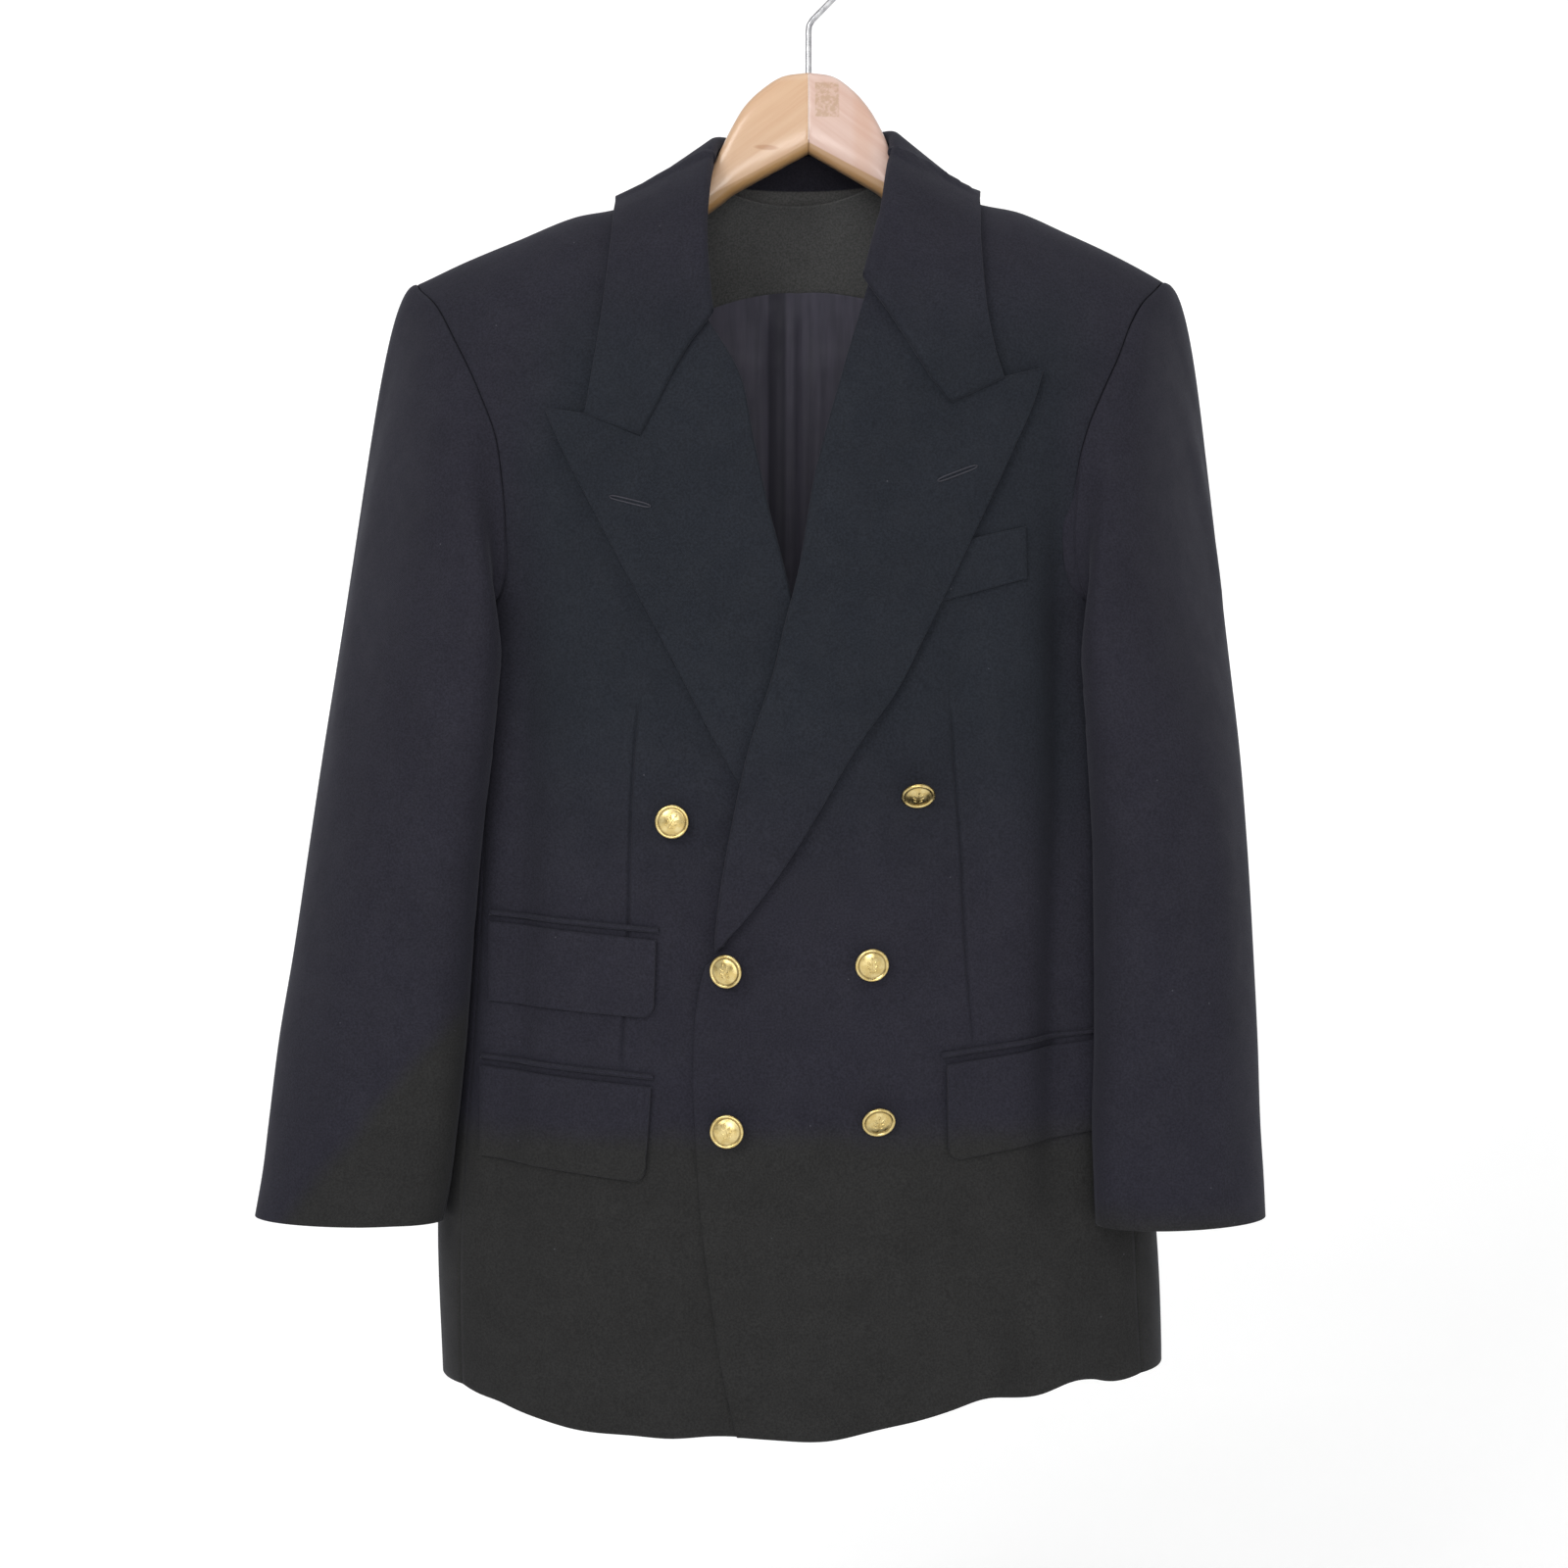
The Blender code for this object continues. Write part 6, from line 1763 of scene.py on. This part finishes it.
def wool_material(name, charcoal_at=None):
    """Dark navy twill with a soft nap, pale specks of lint and an uneven colour."""
    tree = Tree(name)
    where = tree.place()
    cloudy = tree.ramp(tree.noise(where, 22.0, 4.0), 0.3, 0.7, 0.95, 1.06)
    fuzz = tree.ramp(tree.noise(where, 820.0, 3.0), 0.25, 0.75, 0.74, 1.28)
    light = tree.maths("MULTIPLY", cloudy, fuzz)
    grey = tree.add("ShaderNodeCombineColor")
    for channel in ("Red", "Green", "Blue"):
        tree.put(grey, channel, light)
    if charcoal_at == "all":
        # All charcoal: the facing's colour, made paler than the cloth as painted light inside the neck
        toned = tree.mix(1.0, grey.outputs[0], WOOL_FACING_PAINTED_LIGHT, "MULTIPLY")
    else:
        toned = tree.mix(1.0, grey.outputs[0], wool_tone(tree, where, charcoal_at), "MULTIPLY")
    cells = tree.add("ShaderNodeTexVoronoi")
    tree.put(cells, "Vector", where)
    tree.put(cells, "Scale", 130.0)
    near = tree.ramp(cells.outputs["Distance"], 0.075, 0.045)
    pick = tree.ramp(tree.split(cells.outputs["Color"])[0], 0.955, 0.965)
    speck = tree.maths("MULTIPLY", tree.maths("MULTIPLY", near, pick), 0.20)
    tree.put(tree.shader, "Base Color", tree.mix(speck, toned, LINT))
    tree.put(tree.shader, "Roughness", tree.ramp(tree.noise(where, 60.0), 0.3, 0.7, 0.84, 0.95))
    tree.put(tree.shader, "Specular IOR Level", 0.14)
    tree.put(tree.shader, "Sheen Weight", 0.06)
    tree.put(tree.shader, "Sheen Roughness", 0.45)
    tree.put(tree.shader, "Sheen Tint", (0.66, 0.67, 0.80, 1.0))
    ribs = tree.bump(twill(tree, 0.00075), 0.22, 0.00012)
    nap = tree.bump(tree.noise(where, 1500.0, 2.0), 0.35, 0.00012, ribs)
    tree.put(tree.shader, "Normal", nap)
    return tree.material


def lining_material():
    """Smooth grey-purple satin with fine upright wrinkles, painted light and shade along them, and painted shade along
    the pleat.
    """
    tree = Tree("lining_satin")
    where = tree.place()
    streaks = tree.noise(where, 60.0, 4.0, stretch=(3.0, 1.0, 0.16))
    # Painted light and shade: the satin is paler and darker along the same streaks that raise its wrinkles
    shade = tree.ramp(streaks, 0.3, 0.72, 0.2, 0.8)
    # Painted shade in the pleat's fold
    off_pleat = tree.maths("ABSOLUTE", tree.maths("SUBTRACT", tree.split(where)[0], PLEAT_X - 0.0015))
    pleat = tree.maths("MULTIPLY", tree.ramp(off_pleat, 0.0070, 0.0045), 0.55)
    satin = tree.mix(shade, LINING_DARK, LINING_LIGHT)
    tree.put(tree.shader, "Base Color", tree.mix(pleat, satin, LINING_SHADE))
    tree.put(tree.shader, "Roughness", tree.ramp(tree.noise(where, 90.0), 0.3, 0.7, 0.56, 0.70))
    tree.put(tree.shader, "Specular IOR Level", 0.22)
    tree.put(tree.shader, "Sheen Weight", 0.10)
    wrinkles = tree.bump(streaks, 0.18, 0.0008)
    weave = tree.bump(twill(tree, 0.0004), 0.08, 0.00005, wrinkles)
    tree.put(tree.shader, "Normal", weave)
    return tree.material


def wood_material():
    """Varnished pale wood: two boards with their own tone, long grain, a knot and a worn patch."""
    tree = Tree("varnished_wood")
    where = tree.place()
    x, _, z = tree.split(where)
    slope = tree.maths("MULTIPLY", tree.maths("ABSOLUTE", x), 0.75)
    drop = tree.maths("ADD", z, slope)
    along = tree.add("ShaderNodeCombineXYZ")
    tree.put(along, "X", tree.maths("MULTIPLY", x, 7.0))
    tree.put(along, "Y", 0.0)
    tree.put(along, "Z", tree.maths("MULTIPLY", drop, 95.0))
    grain = tree.noise(along.outputs[0], 1.6, 5.0, 0.6)
    pores = tree.noise(along.outputs[0], 9.0, 2.0, 0.5)
    board = tree.ramp(x, -0.0006, 0.0006)
    light = tree.mix(board, WOOD_RIGHT_LIGHT, WOOD_LEFT_LIGHT)
    dark = tree.mix(board, WOOD_RIGHT_DARK, WOOD_LEFT_DARK)
    tone = tree.mix(tree.ramp(grain, 0.38, 0.66), light, dark)
    band = tree.maths("MULTIPLY", tree.ramp(x, 0.026, 0.032), tree.ramp(x, 0.044, 0.036))
    deeper = tree.mix(tree.maths("MULTIPLY", band, 0.35), tone, WOOD_BAND)
    knot_x = tree.maths("SUBTRACT", x, -0.0270)
    knot_z = tree.maths("SUBTRACT", z, -0.1355)
    knot = tree.maths(
        "ADD",
        tree.maths("POWER", tree.maths("MULTIPLY", tree.maths("ADD", knot_x, tree.maths("MULTIPLY", knot_z, 0.9)), 110.0), 2.0),
        tree.maths("POWER", tree.maths("MULTIPLY", knot_z, 480.0), 2.0),
    )
    knotted = tree.mix(tree.maths("MULTIPLY", tree.ramp(knot, 1.0, 0.2), 0.70), deeper, WOOD_KNOT)
    # A golden band along each arm's lower edge, darker than the wood as painted shade on the underside
    above_edge = tree.maths("ADD", tree.maths("ADD", z, 0.1372), tree.maths("MULTIPLY", tree.maths("ABSOLUTE", x), 0.545))
    lower_edge_shaded = tree.mix(tree.maths("MULTIPLY", tree.ramp(above_edge, 0.0062, 0.0050), 0.85), knotted, WOOD_LOWER_EDGE_SHADE)
    patch_x = tree.maths("MULTIPLY", tree.ramp(x, 0.0036, 0.0048), tree.ramp(x, 0.0200, 0.0186))
    patch_z = tree.maths("MULTIPLY", tree.ramp(z, -0.1166, -0.1152), tree.ramp(z, -0.0928, -0.0942))
    rough_edge = tree.ramp(tree.noise(where, 420.0, 4.0), 0.38, 0.58, 0.25, 1.0)
    patch = tree.maths("MULTIPLY", tree.maths("MULTIPLY", patch_x, patch_z), rough_edge)
    worn = tree.mix(tree.maths("MULTIPLY", patch, 0.75), lower_edge_shaded, WOOD_PATCH)
    tree.put(tree.shader, "Base Color", worn)
    tree.put(tree.shader, "Roughness", tree.ramp(pores, 0.3, 0.7, 0.30, 0.44))
    tree.put(tree.shader, "Coat Weight", 0.55)
    tree.put(tree.shader, "Coat Roughness", 0.16)
    grooves = tree.bump(pores, 0.12, 0.0003)
    tree.put(tree.shader, "Normal", tree.bump(grain, 0.10, 0.0006, grooves))
    return tree.material


def brass_material():
    tree = Tree("gold_brass")
    where = tree.place()
    worn = tree.noise(where, 260.0, 4.0)
    cavity = tree.ramp(tree.add("ShaderNodeNewGeometry").outputs["Pointiness"], 0.44, 0.50)
    tone = tree.mix(tree.ramp(worn, 0.35, 0.7), BRASS_DARK, BRASS_LIGHT)
    aged = tree.mix(cavity, BRASS_CAVITY, tone)
    tree.put(tree.shader, "Base Color", aged)
    tree.put(tree.shader, "Metallic", 1.0)
    tree.put(tree.shader, "Roughness", tree.ramp(worn, 0.3, 0.7, 0.20, 0.36))
    brushed = tree.noise(where, 900.0, 2.0)
    tree.put(tree.shader, "Normal", tree.bump(brushed, 0.10, 0.0001))
    return tree.material


def steel_material():
    tree = Tree("hook_steel")
    where = tree.place()
    worn = tree.noise(where, 180.0, 3.0)
    tree.put(tree.shader, "Base Color", tree.mix(tree.ramp(worn, 0.3, 0.7), STEEL_DARK, STEEL_LIGHT))
    tree.put(tree.shader, "Metallic", 1.0)
    tree.put(tree.shader, "Roughness", tree.ramp(worn, 0.3, 0.7, 0.22, 0.34))
    tree.put(tree.shader, "Normal", tree.bump(tree.noise(where, 700.0, 2.0), 0.03, 0.0001))
    return tree.material


def thread_material():
    tree = Tree("navy_thread")
    where = tree.place()
    twist = tree.noise(where, 1600.0, 2.0)
    tree.put(tree.shader, "Base Color", tree.mix(tree.ramp(twist, 0.3, 0.7), THREAD_DARK, THREAD_LIGHT))
    tree.put(tree.shader, "Roughness", tree.ramp(twist, 0.3, 0.7, 0.55, 0.75))
    tree.put(tree.shader, "Normal", tree.bump(twist, 0.4, 0.0002))
    return tree.material


# Studio

def build_stage():
    """A pale floor that curves up into a backdrop, a camera and soft lights."""
    width, front, back, height, bend = 7.0, -3.5, 2.2, 3.2, 0.9
    profile = [(front, FLOOR_Z), (back - bend, FLOOR_Z)]
    for step in range(1, 13):
        turn = math.radians(90 * step / 12)
        profile.append((back - bend + bend * math.sin(turn), FLOOR_Z + bend - bend * math.cos(turn)))
    profile.append((back, height))
    points = [(x, y, z) for y, z in profile for x in (-width / 2, width / 2)]
    faces = [(2 * i, 2 * i + 1, 2 * i + 3, 2 * i + 2) for i in range(len(profile) - 1)]
    mesh = bpy.data.meshes.new("studio_floor")
    mesh.from_pydata(points, [], faces)
    mesh.shade_smooth()
    tree = Tree("pale_floor")
    tone = tree.noise(tree.place(), 3.0, 2.0)
    tree.put(tree.shader, "Base Color", tree.mix(tone, (0.90, 0.90, 0.90), (0.93, 0.93, 0.93)))
    tree.put(tree.shader, "Roughness", 0.9)
    tree.put(tree.shader, "Emission Color", (1.0, 1.0, 1.0, 1.0))
    tree.put(tree.shader, "Emission Strength", FLOOR_GLOW)
    mesh.materials.append(tree.material)
    floor = bpy.data.objects.new("studio_floor", mesh)
    bpy.context.scene.collection.objects.link(floor)
    for name, place, size, power in LIGHTS:
        lamp = bpy.data.lights.new(name, "AREA")
        lamp.shape = "SQUARE"
        lamp.size = size
        lamp.energy = power
        item = bpy.data.objects.new(name, lamp)
        item.location = place
        aim = Vector(LIGHT_AIM) - Vector(place)
        item.rotation_mode = "QUATERNION"
        item.rotation_quaternion = aim.to_track_quat("-Z", "Y")
        bpy.context.scene.collection.objects.link(item)
    world = bpy.data.worlds.new("soft_white")
    world.use_nodes = True
    world.node_tree.nodes["Background"].inputs["Color"].default_value = (1.0, 1.0, 1.0, 1.0)
    world.node_tree.nodes["Background"].inputs["Strength"].default_value = WORLD_LIGHT
    bpy.context.scene.world = world
    lens = bpy.data.cameras.new("photo_camera")
    lens.sensor_width = 36.0
    lens.lens = CAMERA_LENS
    lens.clip_start = 0.05
    lens.clip_end = 50.0
    camera = bpy.data.objects.new("photo_camera", lens)
    camera.location = CAMERA_PLACE
    camera.rotation_euler = (math.radians(90), 0, 0)
    bpy.context.scene.collection.objects.link(camera)
    scene = bpy.context.scene
    scene.camera = camera
    scene.render.resolution_x = 1600
    scene.render.resolution_y = 1600
    scene.view_settings.view_transform = "Standard"
    scene.view_settings.look = "None"
    scene.render.engine = "CYCLES"


def main():
    wool = wool_material("navy_wool")
    sleeve_wool = wool_material("navy_wool_sleeves", "sleeves")
    stand_wool = wool_material("navy_wool_stand", "stand")
    # Charcoal wool of the facing, with painted light inside the neck
    charcoal = wool_material("charcoal_wool_painted_light", "all")
    thread = thread_material()
    build_fronts(wool)
    build_sides(wool)
    build_backs(wool)
    build_neck_inside(charcoal, lining_material())
    build_sleeves(sleeve_wool)
    build_lapels(wool)
    build_collar(wool, stand_wool)
    build_pockets(wool)
    build_buttonholes(thread)
    build_buttons(brass_material(), thread)
    build_hanger(wood_material())
    build_hook(steel_material())
    build_stage()


main()
